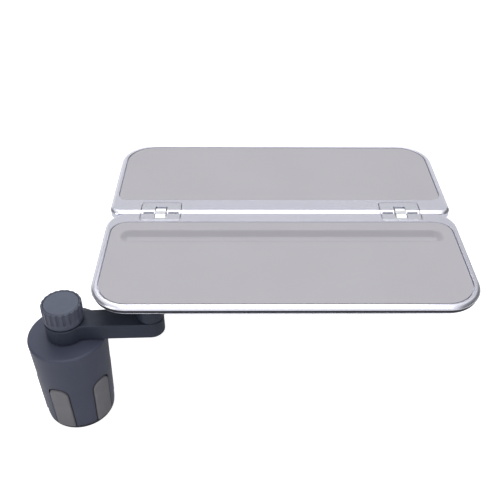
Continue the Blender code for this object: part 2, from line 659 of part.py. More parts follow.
# Arm
def make_lower_arm(parent):
    arm = flat("lower_arm", [arm_outline(HUB_RADIUS, HUB_FILLET, LOWER_ARM_HALF_WIDTH, ELBOW_RADIUS,
                                         LOWER_ARM_LENGTH)], HUB_BOTTOM, HUB_TOP, parent)
    round_edges(arm, ARM_EDGE_RADIUS, 1)
    clip_seat = NECK_TOP - CIRCLIP_THICKNESS - 1.2 - GAP - 0.1
    flange_top = FLANGE_BASE + NECK_FLANGE_THICKNESS
    cut(arm, cylinders("hub_bore", [(0, 0)], NECK_RADIUS + GAP, HUB_BOTTOM - 1, HUB_TOP + 1, parent, 24))
    cut(arm, cylinders("hub_recess", [(0, 0)], NECK_FLANGE_RADIUS + GAP, HUB_BOTTOM - 1, flange_top + GAP, parent, 28))
    cut(arm, cylinders("hub_clip_seat", [(0, 0)], CIRCLIP_RADIUS + GAP, clip_seat, HUB_TOP + 1, parent, 24))
    elbow = [(LOWER_ARM_LENGTH, 0)]
    head_top = elbow_head_top()
    cut(arm, cylinders("elbow_bore", elbow, ELBOW_BOLT_RADIUS + GAP, HUB_BOTTOM - 1, HUB_TOP + 1, parent, 16))
    cut(arm, cylinders("elbow_head_seat", elbow, ELBOW_HEAD_RADIUS + 1.2, HUB_BOTTOM - 1, head_top + GAP, parent, 20))
    cut(arm, cylinders("elbow_washer_seat", elbow, ELBOW_WASHER_RADIUS + GAP, elbow_washer_bottom() - GAP, HUB_TOP + 1,
                       parent, 24))
    inner = LOWER_ARM_HALF_WIDTH - ARM_RIB_WALL
    start = HUB_RADIUS + 2
    end = LOWER_ARM_LENGTH - ELBOW_RADIUS - 1
    middle = (start + end) / 2
    for k, (x0, x1) in enumerate(((start, middle - ARM_RIB_WALL / 2), (middle + ARM_RIB_WALL / 2, end))):
        cut(arm, box(f"lower_arm_pocket_{k + 1}", (x0, x1), (-inner, inner),
                     (HUB_BOTTOM - 1, HUB_TOP - 1.2 * ARM_RIB_WALL), parent))
    paint(arm, "32373F", 0.45)


def elbow_head_top():
    return HUB_BOTTOM + ELBOW_CAP_THICKNESS + 2 * GAP + ELBOW_HEAD_HEIGHT


def elbow_washer_bottom():
    return UPPER_BOTTOM - GAP - ELBOW_WASHER_THICKNESS


def make_elbow_bolt(parent):
    x = LOWER_ARM_LENGTH * MM
    top = elbow_head_top()
    tip = UPPER_TOP - 1.2
    bolt = cylinders("elbow_bolt", [(0, 0)], ELBOW_HEAD_RADIUS, top - ELBOW_HEAD_HEIGHT, top, parent, 6)
    shank = cylinders("elbow_shank", [(0, 0)], ELBOW_BOLT_RADIUS, top - 1, tip, parent, 16)
    shank.location.x = x
    bolt.location.x = x
    join(bolt, shank)
    paint(bolt, "8A8C90", 0.35, 0.9)
    cap = cylinders("elbow_cap", [(0, 0)], ELBOW_HEAD_RADIUS + 0.9, HUB_BOTTOM + 0.1,
                    HUB_BOTTOM + 0.1 + ELBOW_CAP_THICKNESS, parent, 20)
    cap.location.x = x
    paint(cap, "2C3036", 0.45)
    washer = turned("elbow_washer", [
        (ELBOW_BOLT_RADIUS + GAP, UPPER_BOTTOM - GAP), (ELBOW_WASHER_RADIUS, UPPER_BOTTOM - GAP),
        (ELBOW_WASHER_RADIUS, elbow_washer_bottom()), (ELBOW_BOLT_RADIUS + GAP, elbow_washer_bottom())], parent, 24)
    washer.location.x = x
    paint(washer, "E4E2DA", 0.5)


def make_elbow_nut(parent):
    z = UPPER_TOP - GAP - ELBOW_NUT_HEIGHT
    nut = cylinders("elbow_nut", [(0, 0)], ELBOW_HEAD_RADIUS, z, z + ELBOW_NUT_HEIGHT, parent, 6)
    cut(nut, cylinders("elbow_nut_bore", [(0, 0)], ELBOW_BOLT_RADIUS + GAP, z - 1, z + ELBOW_NUT_HEIGHT + 1, parent, 16))
    paint(nut, "8A8C90", 0.35, 0.9)


def make_upper_arm(parent):
    outline = arm_outline(ELBOW_RADIUS, HUB_FILLET, UPPER_ARM_HALF_WIDTH, SWIVEL_EYE_RADIUS, UPPER_ARM_LENGTH)
    arm = flat("upper_arm", [outline], UPPER_BOTTOM, UPPER_TOP, parent)
    round_edges(arm, ARM_EDGE_RADIUS, 1)
    eye = [(UPPER_ARM_LENGTH, 0)]
    join(arm, cylinders("swivel_boss", eye, SWIVEL_EYE_RADIUS - 2 * ARM_EDGE_RADIUS, UPPER_TOP - 2, SWIVEL_BOSS_TOP,
                        parent, 28))
    nut_seat = UPPER_TOP - 2 * GAP - ELBOW_NUT_HEIGHT
    cut(arm, cylinders("upper_elbow_bore", [(0, 0)], ELBOW_BOLT_RADIUS + GAP, UPPER_BOTTOM - 1, UPPER_TOP + 1, parent, 16))
    cut(arm, cylinders("elbow_nut_seat", [(0, 0)], ELBOW_HEAD_RADIUS + 1.2, nut_seat, UPPER_TOP + 1, parent, 20))
    cut(arm, cylinders("swivel_bore", eye, SPIGOT_RADIUS + GAP, UPPER_BOTTOM - 1, SWIVEL_BOSS_TOP + 1, parent, 20))
    cut(arm, cylinders("pivot_seat", eye, PIVOT_WASHER_RADIUS + GAP, UPPER_BOTTOM - 1, pivot_ceiling(), parent, 24))
    inner = UPPER_ARM_HALF_WIDTH - ARM_RIB_WALL
    start = ELBOW_RADIUS + 2
    end = UPPER_ARM_LENGTH - SWIVEL_EYE_RADIUS - 1
    middle = (start + end) / 2
    for k, (x0, x1) in enumerate(((start, middle - ARM_RIB_WALL / 2), (middle + ARM_RIB_WALL / 2, end))):
        cut(arm, box(f"upper_arm_pocket_{k + 1}", (x0, x1), (-inner, inner),
                     (UPPER_BOTTOM - 1, UPPER_TOP - 1.2 * ARM_RIB_WALL), parent))
    paint(arm, "32373F", 0.45)


def pivot_ceiling():
    return UPPER_BOTTOM + PIVOT_HEAD_HEIGHT + PIVOT_WASHER_THICKNESS + 3 * GAP


def make_swivel_washer(parent):
    z = SWIVEL_BOSS_TOP + GAP
    washer = turned("swivel_washer", [
        (SPIGOT_RADIUS + GAP, z + SWIVEL_WASHER_THICKNESS), (SWIVEL_WASHER_RADIUS, z + SWIVEL_WASHER_THICKNESS),
        (SWIVEL_WASHER_RADIUS, z), (SPIGOT_RADIUS + GAP, z)], parent, 24)
    washer.location.x = UPPER_ARM_LENGTH * MM
    paint(washer, "E4E2DA", 0.5)


# Tray swivel
def flange_screw_spots():
    return around(FLANGE_SCREW_CIRCLE, 4, 45)


def make_swivel(parent):
    low = pivot_ceiling()
    hole = SCREW_RADIUS + 2 * GAP
    profile = [(0, FLANGE_TOP), (FLANGE_RADIUS - 0.6, FLANGE_TOP), (FLANGE_RADIUS, FLANGE_TOP - 0.6),
               (FLANGE_RADIUS, FLANGE_TOP - 0.55 * FLANGE_THICKNESS), (SWIVEL_WASHER_RADIUS + 5.1, FLANGE_BOTTOM),
               (SPIGOT_RADIUS, FLANGE_BOTTOM), (SPIGOT_RADIUS, low + 0.6), (SPIGOT_RADIUS - 0.6, low), (hole, low),
               (hole, FLANGE_BOTTOM), (0, FLANGE_BOTTOM)]
    plate = turned("swivel_plate", profile, parent, 28, closed=False)
    cut(plate, cylinders("flange_holes", flange_screw_spots(), SCREW_RADIUS + GAP, FLANGE_BOTTOM - 1, FLANGE_TOP + 1,
                         parent, 8))
    head_z = flange_head_z()
    cut(plate, cylinders("flange_sinks", flange_screw_spots(), SCREW_HEAD_RADIUS + 2 * GAP, FLANGE_BOTTOM - 1,
                         head_z + SCREW_HEAD_HEIGHT - GAP, parent, 8))
    paint(plate, "3A3D44", 0.45)
    for k, (x, y) in enumerate(flange_screw_spots()):
        make_screw(f"swivel_screw_{k + 1}", x, y, head_z - 2 * GAP, flange_screw_tip(), parent)
    washer_top = low - GAP
    washer = turned("swivel_pivot_washer", [
        (SCREW_RADIUS + 2 * GAP, washer_top), (PIVOT_WASHER_RADIUS, washer_top),
        (PIVOT_WASHER_RADIUS, washer_top - PIVOT_WASHER_THICKNESS),
        (SCREW_RADIUS + 2 * GAP, washer_top - PIVOT_WASHER_THICKNESS)], parent, 20)
    paint(washer, "A9ABB0", 0.3, 1.0)
    head_top = washer_top - PIVOT_WASHER_THICKNESS - GAP
    screw = turned("swivel_pivot_screw", [
        (0, FLANGE_BOTTOM - 2), (SCREW_RADIUS + GAP, FLANGE_BOTTOM - 3), (SCREW_RADIUS + GAP, head_top),
        (PIVOT_HEAD_RADIUS, head_top), (PIVOT_HEAD_RADIUS, head_top - PIVOT_HEAD_HEIGHT * 0.5),
        (PIVOT_HEAD_RADIUS * 0.6, head_top - PIVOT_HEAD_HEIGHT), (0, head_top - PIVOT_HEAD_HEIGHT)],
        parent, 14, closed=False)
    paint(screw, "8A8C90", 0.35, 0.9)


def flange_head_z():
    """Underside of the flange at its screws, where its lower face slopes."""
    inner, outer = SWIVEL_WASHER_RADIUS + 5.1, FLANGE_RADIUS
    share = (FLANGE_SCREW_CIRCLE - inner) / (outer - inner)
    return FLANGE_BOTTOM + share * 0.45 * FLANGE_THICKNESS


def flange_screw_tip():
    return trough_underside() - 2 * GAP


def trough_underside():
    return INSERT_TOP - TROUGH_DEPTH - INSERT_THICKNESS


# Tray leaves, in the tray's own frame with its origin on the swivel axis
def tray_x0():
    return TRAY_CENTRE_X - TRAY_WIDTH / 2


def tray_x1():
    return TRAY_CENTRE_X + TRAY_WIDTH / 2


def front_y0():
    return -SWIVEL_FROM_FRONT


def front_y1():
    return HINGE_Y - LEAF_GAP / 2


def rear_y0():
    return HINGE_Y + LEAF_GAP / 2


def rear_y1():
    return HINGE_Y + LEAF_GAP / 2 + REAR_DEPTH


def leaf_body(name, y0, y1, radii, hinge_side, hinge_edge, parent):
    """Outer form of a leaf: rounded corners in plan, rounded edges with their own radius on the hinge side."""
    x0, x1 = tray_x0(), tray_x1()
    a, b, c, d = radii
    outline = rounded_rectangle(x0, x1, y0, y1, radii)
    count = len(outline) // 4
    rings = []
    levels = [(TRAY_BOTTOM, t, 1) for t in (90, 60, 30, 0)] + [(TRAY_TOP, t, -1) for t in (0, 30, 60, 90)]
    for edge_z, tilt, way in levels:
        ring = []
        for k, (x, y) in enumerate(outline):
            angle = math.radians(180 + 90 * (k // count) + 90 * (k % count) / (count - 1))
            toward = max(0.0, math.sin(angle) * hinge_side)
            radius = LEAF_EDGE_RADIUS + (hinge_edge - LEAF_EDGE_RADIUS) * toward ** 2
            inset = radius * (1 - math.cos(math.radians(tilt)))
            height = radius * (1 - math.sin(math.radians(tilt)))
            ring.append((x - inset * math.cos(angle), y - inset * math.sin(angle), edge_z + way * height))
        rings.append(ring)
    return loft(name, rings, parent)


def insert_outline(front, grow=0.0):
    x0, x1 = tray_x0() + RIM_WIDTH - grow, tray_x1() - RIM_WIDTH + grow
    outer = OUTER_CORNER_RADIUS - RIM_WIDTH + grow
    if front:
        inner = FRONT_INNER_CORNER_RADIUS - RIM_WIDTH + grow
        return rounded_rectangle(x0, x1, front_y0() + RIM_WIDTH - grow, front_y1() - FRONT_HINGE_RIM + grow,
                                 (outer, outer, inner, inner), 4)
    inner = REAR_INNER_CORNER_RADIUS + grow
    return rounded_rectangle(x0, x1, rear_y0() + REAR_HINGE_RIM - grow, rear_y1() - RIM_WIDTH + grow,
                             (inner, inner, outer, outer), 4)


def cover_outline(front, grow=0.0):
    x0, x1 = tray_x0() + COVER_SEAT - grow, tray_x1() - COVER_SEAT + grow
    outer = OUTER_CORNER_RADIUS - COVER_SEAT + grow
    if front:
        inner = FRONT_INNER_CORNER_RADIUS - COVER_SEAT + grow
        return rounded_rectangle(x0, x1, front_y0() + COVER_SEAT - grow, front_y1() - FRONT_HINGE_RIM - 2 + grow,
                                 (outer, outer, inner, inner), 4)
    inner = REAR_INNER_CORNER_RADIUS + grow
    return rounded_rectangle(x0, x1, rear_y0() + REAR_HINGE_RIM + grow * -1, rear_y1() - COVER_SEAT + grow,
                             (inner, inner, outer, outer), 4)


def trough_y():
    return front_y1() - TROUGH_FROM_HINGE


def hinge_spots():
    return [("left", TRAY_CENTRE_X - HINGE_FROM_CENTRE), ("right", TRAY_CENTRE_X + HINGE_FROM_CENTRE)]


def plate_prism(name, x, y0, y1, corner_low, corner_high, z0, z1, parent, grow=0.0):
    half = HINGE_PLATE_WIDTH / 2 + grow
    radii = (corner_low, corner_low, corner_high, corner_high)
    return flat(name, [rounded_rectangle(x - half, x + half, y0, y1, radii, 4)], z0, z1, parent)


def front_body(name, parent):
    radii = (OUTER_CORNER_RADIUS, OUTER_CORNER_RADIUS, FRONT_INNER_CORNER_RADIUS, FRONT_INNER_CORNER_RADIUS)
    return leaf_body(name, front_y0(), front_y1(), radii, 1, FRONT_HINGE_EDGE_RADIUS, parent)


def rear_body(name, parent):
    radii = (REAR_INNER_CORNER_RADIUS, REAR_INNER_CORNER_RADIUS, OUTER_CORNER_RADIUS, OUTER_CORNER_RADIUS)
    return leaf_body(name, rear_y0(), rear_y1(), radii, -1, LEAF_EDGE_RADIUS, parent)


def make_frame(front, parent):
    word = "front" if front else "rear"
    frame = front_body("front_frame", parent) if front else rear_body("rear_frame", parent)
    cut(frame, flat(word + "_under", [cover_outline(front, GAP)], TRAY_BOTTOM - 1, FLOOR_BOTTOM, parent))
    if front:
        join(frame, cylinders("swivel_pad", [(0, 0)], FLANGE_RADIUS - 1, COVER_TOP + GAP, FLOOR_BOTTOM + 1, parent, 28))
        slot = stadium(TRAY_CENTRE_X, trough_y(), TROUGH_LENGTH + 4, TROUGH_WIDTH + 4)
        cut(frame, flat("trough_slot", [slot], trough_underside() - GAP, TRAY_TOP, parent))
        cut(frame, cylinders("swivel_pad_holes", flange_screw_spots(), SCREW_RADIUS + GAP, TRAY_BOTTOM - 1,
                             flange_screw_tip() + GAP, parent, 8))
    cut(frame, flat(word + "_pocket", [insert_outline(front, GAP)], FLOOR_TOP, TRAY_TOP + 1, parent))
    for side, x in hinge_spots():
        if front:
            y0, y1 = front_y1() - FRONT_PLATE_DEPTH - GAP, front_y1() + 5
            corners = (HINGE_PLATE_CORNER + GAP, 0.5)
        else:
            y0, y1 = rear_y0() - 5, rear_y0() + REAR_PLATE_DEPTH + GAP
            corners = (0.5, HINGE_PLATE_CORNER + GAP)
        cut(frame, plate_prism(f"{word}_seat_{side}", x, y0, y1, *corners, TRAY_TOP - HINGE_PLATE_HEIGHT - GAP,
                               TRAY_TOP + 3, parent, GAP))
    paint(frame, "C6C6CF", 0.3, 0.6)


def trough_ring(shrink, z, extra=0.0):
    outline = stadium(TRAY_CENTRE_X, trough_y(), TROUGH_LENGTH - 2 * shrink + 2 * extra,
                      TROUGH_WIDTH - 2 * shrink + 2 * extra)
    return [(x, y, z) for x, y in outline]


def trough_rings(extra, drop):
    """Soft-sided trough: rings that sink along a smooth curve."""
    rings = []
    for k in range(7):
        share = k / 6
        depth = TROUGH_DEPTH * (1 - math.cos(math.pi * share)) / 2
        rings.append(trough_ring(share * TROUGH_SLOPE, INSERT_TOP - depth - drop, extra))
    return rings


def make_insert(front, parent):
    word = "front" if front else "rear"
    insert = flat(word + "_insert", [insert_outline(front)], INSERT_BOTTOM, INSERT_TOP, parent)
    round_edges(insert, 0.4, 1)
    if front:
        outer = [trough_ring(0, INSERT_TOP - 0.4, 1.5)] + trough_rings(1.5, INSERT_THICKNESS)
        inner = [trough_ring(0, INSERT_TOP + 1)] + trough_rings(0, 0)
        join(insert, loft("trough_outer", outer, parent))
        cut(insert, loft("trough_inner", inner, parent))
    paint(insert, "BCB9BE", 0.75)


def make_cover(front, parent):
    word = "front" if front else "rear"
    cover = flat(word + "_cover", [cover_outline(front)], TRAY_BOTTOM, COVER_TOP, parent)
    x0, x1 = tray_x0() + 40, tray_x1() - 40
    y0, y1 = (front_y0(), front_y1()) if front else (rear_y0(), rear_y1())
    first = 0 if not front else 1
    for k in range(first, 3):
        low = y0 + 30 + k * (y1 - y0 - 60) / 3
        high = low + (y1 - y0 - 60) / 3 - 6
        left = FLANGE_RADIUS + 6 if front else x0
        cut(cover, flat(f"{word}_panel_{k + 1}", [rounded_rectangle(left, x1, low, high, (6, 6, 6, 6), 3)],
                        TRAY_BOTTOM - 1, TRAY_BOTTOM + 0.6, parent))
    if front:
        cut(cover, cylinders("cover_holes", flange_screw_spots(), SCREW_RADIUS + GAP, TRAY_BOTTOM - 1, COVER_TOP + 1,
                             parent, 8))
    paint(cover, "9A9BA3", 0.6)


# Hinges
def make_hinge_plate(front, side, x, parent):
    word = "front" if front else "rear"
    name = f"hinge_plate_{word}_{side}"
    body = front_body(name, parent) if front else rear_body(name, parent)
    z0 = TRAY_TOP - HINGE_PLATE_HEIGHT
    if front:
        prism = plate_prism(name + "_prism", x, front_y1() - FRONT_PLATE_DEPTH, front_y1() + 5, HINGE_PLATE_CORNER,
                            0.5, z0, TRAY_TOP + 3, parent)
        notch_y = (HINGE_Y - PIN_SPACING / 2 - LINK_RADIUS - SLIDE_GAP, HINGE_Y + 5)
    else:
        prism = plate_prism(name + "_prism", x, rear_y0() - 5, rear_y0() + REAR_PLATE_DEPTH, 0.5,
                            HINGE_PLATE_CORNER, z0, TRAY_TOP + 3, parent)
        notch_y = (HINGE_Y - 5, HINGE_Y + PIN_SPACING / 2 + LINK_RADIUS + SLIDE_GAP)
    keep_inside(body, prism)
    half = LINK_WIDTH / 2 + GAP
    cut(body, box(name + "_notch", (x - half, x + half), notch_y, (z0 - 1, TRAY_TOP + 3), parent))
    pin_y = HINGE_Y + (-PIN_SPACING / 2 if front else PIN_SPACING / 2)
    reach = PIN_LENGTH / 2 + GAP
    cut(body, across(name + "_bore", PIN_RADIUS + GAP, x - reach, x + reach, pin_y, PIN_Z, parent, 12))
    paint(body, "B9BAC4", 0.3, 0.6)


def link_outline():
    """Side view of a link: two round ends with a shallow waist between them."""
    half = PIN_SPACING / 2
    right = arc(half, 0, LINK_RADIUS, -100, 100, 8)
    left = arc(-half, 0, LINK_RADIUS, 80, 280, 8)
    return right + [(0, LINK_WAIST)] + left + [(0, -LINK_WAIST)]


def make_link(side, x, parent):
    link = flat(f"hinge_link_{side}", [link_outline()], -LINK_WIDTH / 2, LINK_WIDTH / 2, parent, radial_plane())
    link.location = (0, PIN_SPACING / 2 * MM, 0)
    for k, y in enumerate((0, PIN_SPACING)):
        cut(link, across(f"link_bore_{side}_{k + 1}", PIN_RADIUS + GAP, -LINK_WIDTH, LINK_WIDTH, y, 0, parent, 12))
    paint(link, "C9CAD2", 0.25, 0.7)


def make_pin(name, x, parent):
    pin = across(name, PIN_RADIUS, x - PIN_LENGTH / 2, x + PIN_LENGTH / 2, 0, 0, parent, 12)
    paint(pin, "A9ABB0", 0.3, 1.0)


def build():
    clear_scene()
    base = axis_empty("base_axis", None)
    make_base_shell(base)
    make_base_plate(base)
    make_neck(base)
    for k, (x, y) in enumerate(boss_spots()):
        make_screw(f"base_screw_{k + 1}", x, y, GAP, SHELL_BOTTOM + BASE_BOSS_HEIGHT - 3 * SCREW_RADIUS, base)
    for k in range(JAW_COUNT):
        make_jaw(k, axis_empty(f"jaw_axis_{k + 1}", base, angle=jaw_angle(k)))
    make_wedge_nut(axis_empty("wedge_axis", base))
    knob_axis = axis_empty("knob_axis", base)
    make_spindle(knob_axis)
    make_knob(knob_axis)

    arm_axis = axis_empty("arm_axis", base, angle=ARM_ANGLE)
    make_lower_arm(arm_axis)
    make_elbow_bolt(arm_axis)
    elbow_axis = axis_empty("elbow_axis", arm_axis, (LOWER_ARM_LENGTH, 0, 0), ELBOW_ANGLE)
    make_upper_arm(elbow_axis)
    make_elbow_nut(elbow_axis)
    make_swivel_washer(elbow_axis)

    tray_axis = axis_empty("tray_axis", elbow_axis, (UPPER_ARM_LENGTH, 0, 0), -ARM_ANGLE - ELBOW_ANGLE)
    make_swivel(tray_axis)
    for front in (True, False):
        make_frame(front, tray_axis)
        make_insert(front, tray_axis)
        make_cover(front, tray_axis)
        for side, x in hinge_spots():
            make_hinge_plate(front, side, x, tray_axis)
    for side, x in hinge_spots():
        make_link(side, x, axis_empty(f"link_axis_{side}", tray_axis, (x, HINGE_Y - PIN_SPACING / 2, PIN_Z)))
    front_pins = axis_empty("front_pin_axis", tray_axis, (0, HINGE_Y - PIN_SPACING / 2, PIN_Z))
    rear_pins = axis_empty("rear_pin_axis", tray_axis, (0, HINGE_Y + PIN_SPACING / 2, PIN_Z))
    for side, x in hinge_spots():
        make_pin(f"hinge_pin_front_{side}", x, front_pins)
        make_pin(f"hinge_pin_rear_{side}", x, rear_pins)


build()
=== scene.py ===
"""Looks of a folding two-leaf tray on a jointed arm, on an expanding base that stands in a cup holder.

Sizes are millimetres until a piece is finished, when its mesh is brought to metres. +Z is up and +X runs
along the tray's width. The origin is the centre of the base's underside.
"""
import math

import bmesh
import bpy
from mathutils import Matrix, Vector


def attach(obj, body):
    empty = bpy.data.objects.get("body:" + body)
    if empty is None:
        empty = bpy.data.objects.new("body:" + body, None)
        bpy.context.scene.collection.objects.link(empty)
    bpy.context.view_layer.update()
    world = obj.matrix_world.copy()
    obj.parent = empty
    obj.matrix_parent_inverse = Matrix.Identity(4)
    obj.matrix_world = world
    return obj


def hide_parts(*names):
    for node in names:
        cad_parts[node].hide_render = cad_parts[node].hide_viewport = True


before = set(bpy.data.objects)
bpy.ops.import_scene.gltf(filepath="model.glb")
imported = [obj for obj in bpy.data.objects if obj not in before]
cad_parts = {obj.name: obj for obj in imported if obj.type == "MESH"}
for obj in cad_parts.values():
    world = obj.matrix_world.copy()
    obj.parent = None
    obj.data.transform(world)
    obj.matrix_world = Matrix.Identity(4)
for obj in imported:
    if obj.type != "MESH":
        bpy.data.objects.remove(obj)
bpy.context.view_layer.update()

# Base plate
# The round foot that closes the base from below, moulded in dark grey ABS with a fine even grain that dulls
# its sheen. It is turned in one profile, with a cup for the spindle's end, grooves that guide the jaws and
# countersunk screw holes. Places nearer than NEAR are one, and cutters reach PAST what they cut.
MM = 0.001
NEAR = 0.01
PAST = 2.0
JAWS = 5
FIRST_JAW = -105.5
JAW_ANGLES = [math.radians(FIRST_JAW + 360 / JAWS * k) for k in range(JAWS)]
FOOT_RADIUS = 33.0
PLATE_RIM = 32.7
PLATE_TOP = 3.4
PLATE_ROUND = 0.8
PLATE_EASE = 0.3
CUP_TOP = 7.0
CUP_RADIUS = 9.0
CUP_BORE = 5.3
GROOVE_HALF = 2.6
GROOVE_FLOOR = 1.3
GROOVE_START = 12.9
BOSS_CIRCLE = 27.8
SCREW_SINK = 3.4
SCREW_SINK_DEPTH = 2.1
SCREW_HOLE = 1.8
FLAT_ANGLE = math.radians(0.2)
SHARP_ANGLE = math.radians(32)


def hex_colour(code):
    channels = [int(code[i:i + 2], 16) / 255 for i in (0, 2, 4)]
    return (*[c / 12.92 if c <= 0.04045 else ((c + 0.055) / 1.055) ** 2.4 for c in channels], 1.0)


def add_node(owner, kind, sockets=None, **settings):
    """Adds a node. A socket's value is a number, a colour, or the output that feeds it."""
    node = owner.node_tree.nodes.new(kind)
    for key, value in settings.items():
        setattr(node, key, value)
    for key, value in (sockets or {}).items():
        if isinstance(value, bpy.types.NodeSocket):
            owner.node_tree.links.new(value, node.inputs[key])
        else:
            node.inputs[key].default_value = value
    return node


def start_material(name, colour, roughness, metallic=0.0, sheen=0.5):
    """A Principled surface of even colour, to which a section adds its grain. Matt ones have less sheen."""
    material = bpy.data.materials.new(name)
    material.use_nodes = True
    shader = material.node_tree.nodes["Principled BSDF"]
    shader.inputs["Base Color"].default_value = hex_colour(colour)
    shader.inputs["Roughness"].default_value = roughness
    shader.inputs["Metallic"].default_value = metallic
    shader.inputs["Specular IOR Level"].default_value = sheen
    return material


def lay_grain(material, grain, depth, low, high, smooth, coarse, drift=35.0):
    """Bumps of a size and depth in mm that also vary the roughness, and a slow drift between two shades."""
    links = material.node_tree.links
    shader = material.node_tree.nodes["Principled BSDF"]
    place = add_node(material, "ShaderNodeTexCoord").outputs["Object"]
    fine = add_node(material, "ShaderNodeTexNoise", {
        "Vector": place, "Scale": 1 / (grain * MM), "Detail": 2.0, "Roughness": 0.55})
    slow = add_node(material, "ShaderNodeTexNoise", {
        "Vector": place, "Scale": 1 / (drift * MM), "Detail": 2.0, "Roughness": 0.5})
    blend = add_node(material, "ShaderNodeMapRange", {
        "Value": slow.outputs[0], "From Min": 0.35, "From Max": 0.65})
    shade = add_node(material, "ShaderNodeMix", {
        0: blend.outputs[0], 6: hex_colour(low), 7: hex_colour(high)}, data_type="RGBA")
    gloss = add_node(material, "ShaderNodeMapRange", {
        "Value": fine.outputs[0], "From Min": 0.3, "From Max": 0.7, "To Min": smooth, "To Max": coarse})
    bump = add_node(material, "ShaderNodeBump", {
        "Height": fine.outputs[0], "Distance": depth * MM, "Strength": 1.0})
    links.new(shade.outputs[2], shader.inputs["Base Color"])
    links.new(gloss.outputs[0], shader.inputs["Roughness"])
    links.new(bump.outputs[0], shader.inputs["Normal"])


def spin_profile(shape, profile, steps, closed=True, first=0.0):
    """Spins points of radius and height all the way round the upright axis."""
    turn = Matrix.Rotation(first, 3, "Z")
    line = [shape.verts.new(turn @ Vector((radius, 0, height))) for radius, height in profile]
    pairs = list(zip(line, line[1:] + line[:1] if closed else line[1:]))
    edges = [shape.edges.new(pair) for pair in pairs]
    bmesh.ops.spin(shape, geom=line + edges, cent=(0, 0, 0), axis=(0, 0, 1), angle=2 * math.pi, steps=steps,
                   use_merge=True)
    bmesh.ops.remove_doubles(shape, verts=shape.verts, dist=NEAR / 20)


def rod(radius, low, high, segments, x=0.0, y=0.0):
    """An upright cylinder as a new bmesh, a half step round so that no corner lies on an axis."""
    shape = bmesh.new()
    place = Matrix.Translation((x, y, (low + high) / 2)) @ Matrix.Rotation(math.pi / segments, 4, "Z")
    bmesh.ops.create_cone(shape, cap_ends=True, segments=segments, radius1=radius, radius2=radius,
                          depth=high - low, matrix=place)
    return shape


def block(x, y, z, angle=0.0):
    """A box between two places on each axis, turned about the upright axis, as a new bmesh."""
    shape = bmesh.new()
    size = Vector((x[1] - x[0], y[1] - y[0], z[1] - z[0]))
    middle = Vector((x[1] + x[0], y[1] + y[0], z[1] + z[0])) / 2
    place = Matrix.Rotation(angle, 4, "Z") @ Matrix.LocRotScale(middle, None, size)
    bmesh.ops.create_cube(shape, size=1, matrix=place)
    return shape


def to_object(name, shape, closed=True):
    """Brings a bmesh to metres and puts it in the scene, a closed one with its faces turned outward."""
    if closed:
        bmesh.ops.recalc_face_normals(shape, faces=shape.faces)
    bmesh.ops.scale(shape, vec=(MM, MM, MM), verts=shape.verts)
    mesh = bpy.data.meshes.new(name)
    shape.to_mesh(mesh)
    shape.free()
    made = bpy.data.objects.new(name, mesh)
    bpy.context.scene.collection.objects.link(made)
    return made


def apply_modifiers(piece):
    graph = bpy.context.evaluated_depsgraph_get()
    mesh = bpy.data.meshes.new_from_object(piece.evaluated_get(graph), preserve_all_data_layers=True,
                                           depsgraph=graph)
    mesh.name = piece.name
    piece.modifiers.clear()
    piece.data = mesh


def settle(piece, material):
    """Applies a piece's modifiers, gives it its finish and shades it smooth, led by its large faces."""
    apply_modifiers(piece)
    shape = bmesh.new()
    shape.from_mesh(piece.data)
    bmesh.ops.dissolve_limit(shape, angle_limit=FLAT_ANGLE, verts=shape.verts, edges=shape.edges)
    shape.to_mesh(piece.data)
    shape.free()
    piece.data.materials.clear()
    piece.data.materials.append(material)
    piece.data.shade_smooth()
    piece.data.set_sharp_from_angle(angle=SHARP_ANGLE)
    lead = piece.modifiers.new("Weighted normals", "WEIGHTED_NORMAL")
    lead.keep_sharp = True
    apply_modifiers(piece)


def form(name, shape, material, cuts=(), joins=()):
    """Finishes a piece from its bmesh, with other shapes joined to it or cut from it."""
    piece = to_object(name, shape)
    tools = []
    for way, shapes in (("UNION", joins), ("DIFFERENCE", cuts)):
        for other in shapes:
            tool = to_object(name + "_tool", other)
            modifier = piece.modifiers.new(way.title(), "BOOLEAN")
            modifier.operation = way
            modifier.object = tool
            tools.append(tool)
    settle(piece, material)
    for tool in tools:
        bpy.data.objects.remove(tool)
    return piece


def ring_spots(radius, count, first):
    angles = [first + 2 * math.pi * k / count for k in range(count)]
    return [(radius * math.cos(angle), radius * math.sin(angle)) for angle in angles]


dark_abs = start_material("dark_abs_moulded", "33353D", 0.5, sheen=0.25)
lay_grain(dark_abs, 0.9, 0.02, "30323A", "36383F", 0.46, 0.56)
boss_spots = ring_spots(BOSS_CIRCLE, JAWS, JAW_ANGLES[0] + math.pi / JAWS)
groove = (GROOVE_START, PLATE_RIM + PAST), (-GROOVE_HALF, GROOVE_HALF), (GROOVE_FLOOR, CUP_TOP + PAST)
plate_shape = bmesh.new()
spin_profile(plate_shape, [
    (0, PLATE_TOP / 2), (CUP_BORE, PLATE_TOP / 2), (CUP_BORE, CUP_TOP - PLATE_EASE),
    (CUP_BORE + PLATE_EASE, CUP_TOP), (CUP_RADIUS - PLATE_EASE, CUP_TOP), (CUP_RADIUS, CUP_TOP - PLATE_EASE),
    (CUP_RADIUS, PLATE_TOP), (PLATE_RIM - PLATE_EASE, PLATE_TOP), (PLATE_RIM, PLATE_TOP - PLATE_EASE),
    (PLATE_RIM, PLATE_ROUND), (PLATE_RIM - 0.25, 0.28), (PLATE_RIM - PLATE_ROUND, 0), (0, 0)],
    120, closed=False)
base_plate = form("base_plate_moulding", plate_shape, dark_abs, cuts=[
    *[block(*groove, angle) for angle in JAW_ANGLES],
    *[rod(SCREW_HOLE, -PAST, PLATE_TOP + PAST, 20, *spot) for spot in boss_spots],
    *[rod(SCREW_SINK, -PAST, SCREW_SINK_DEPTH, 32, *spot) for spot in boss_spots]])
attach(base_plate, "base")
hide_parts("base_plate")

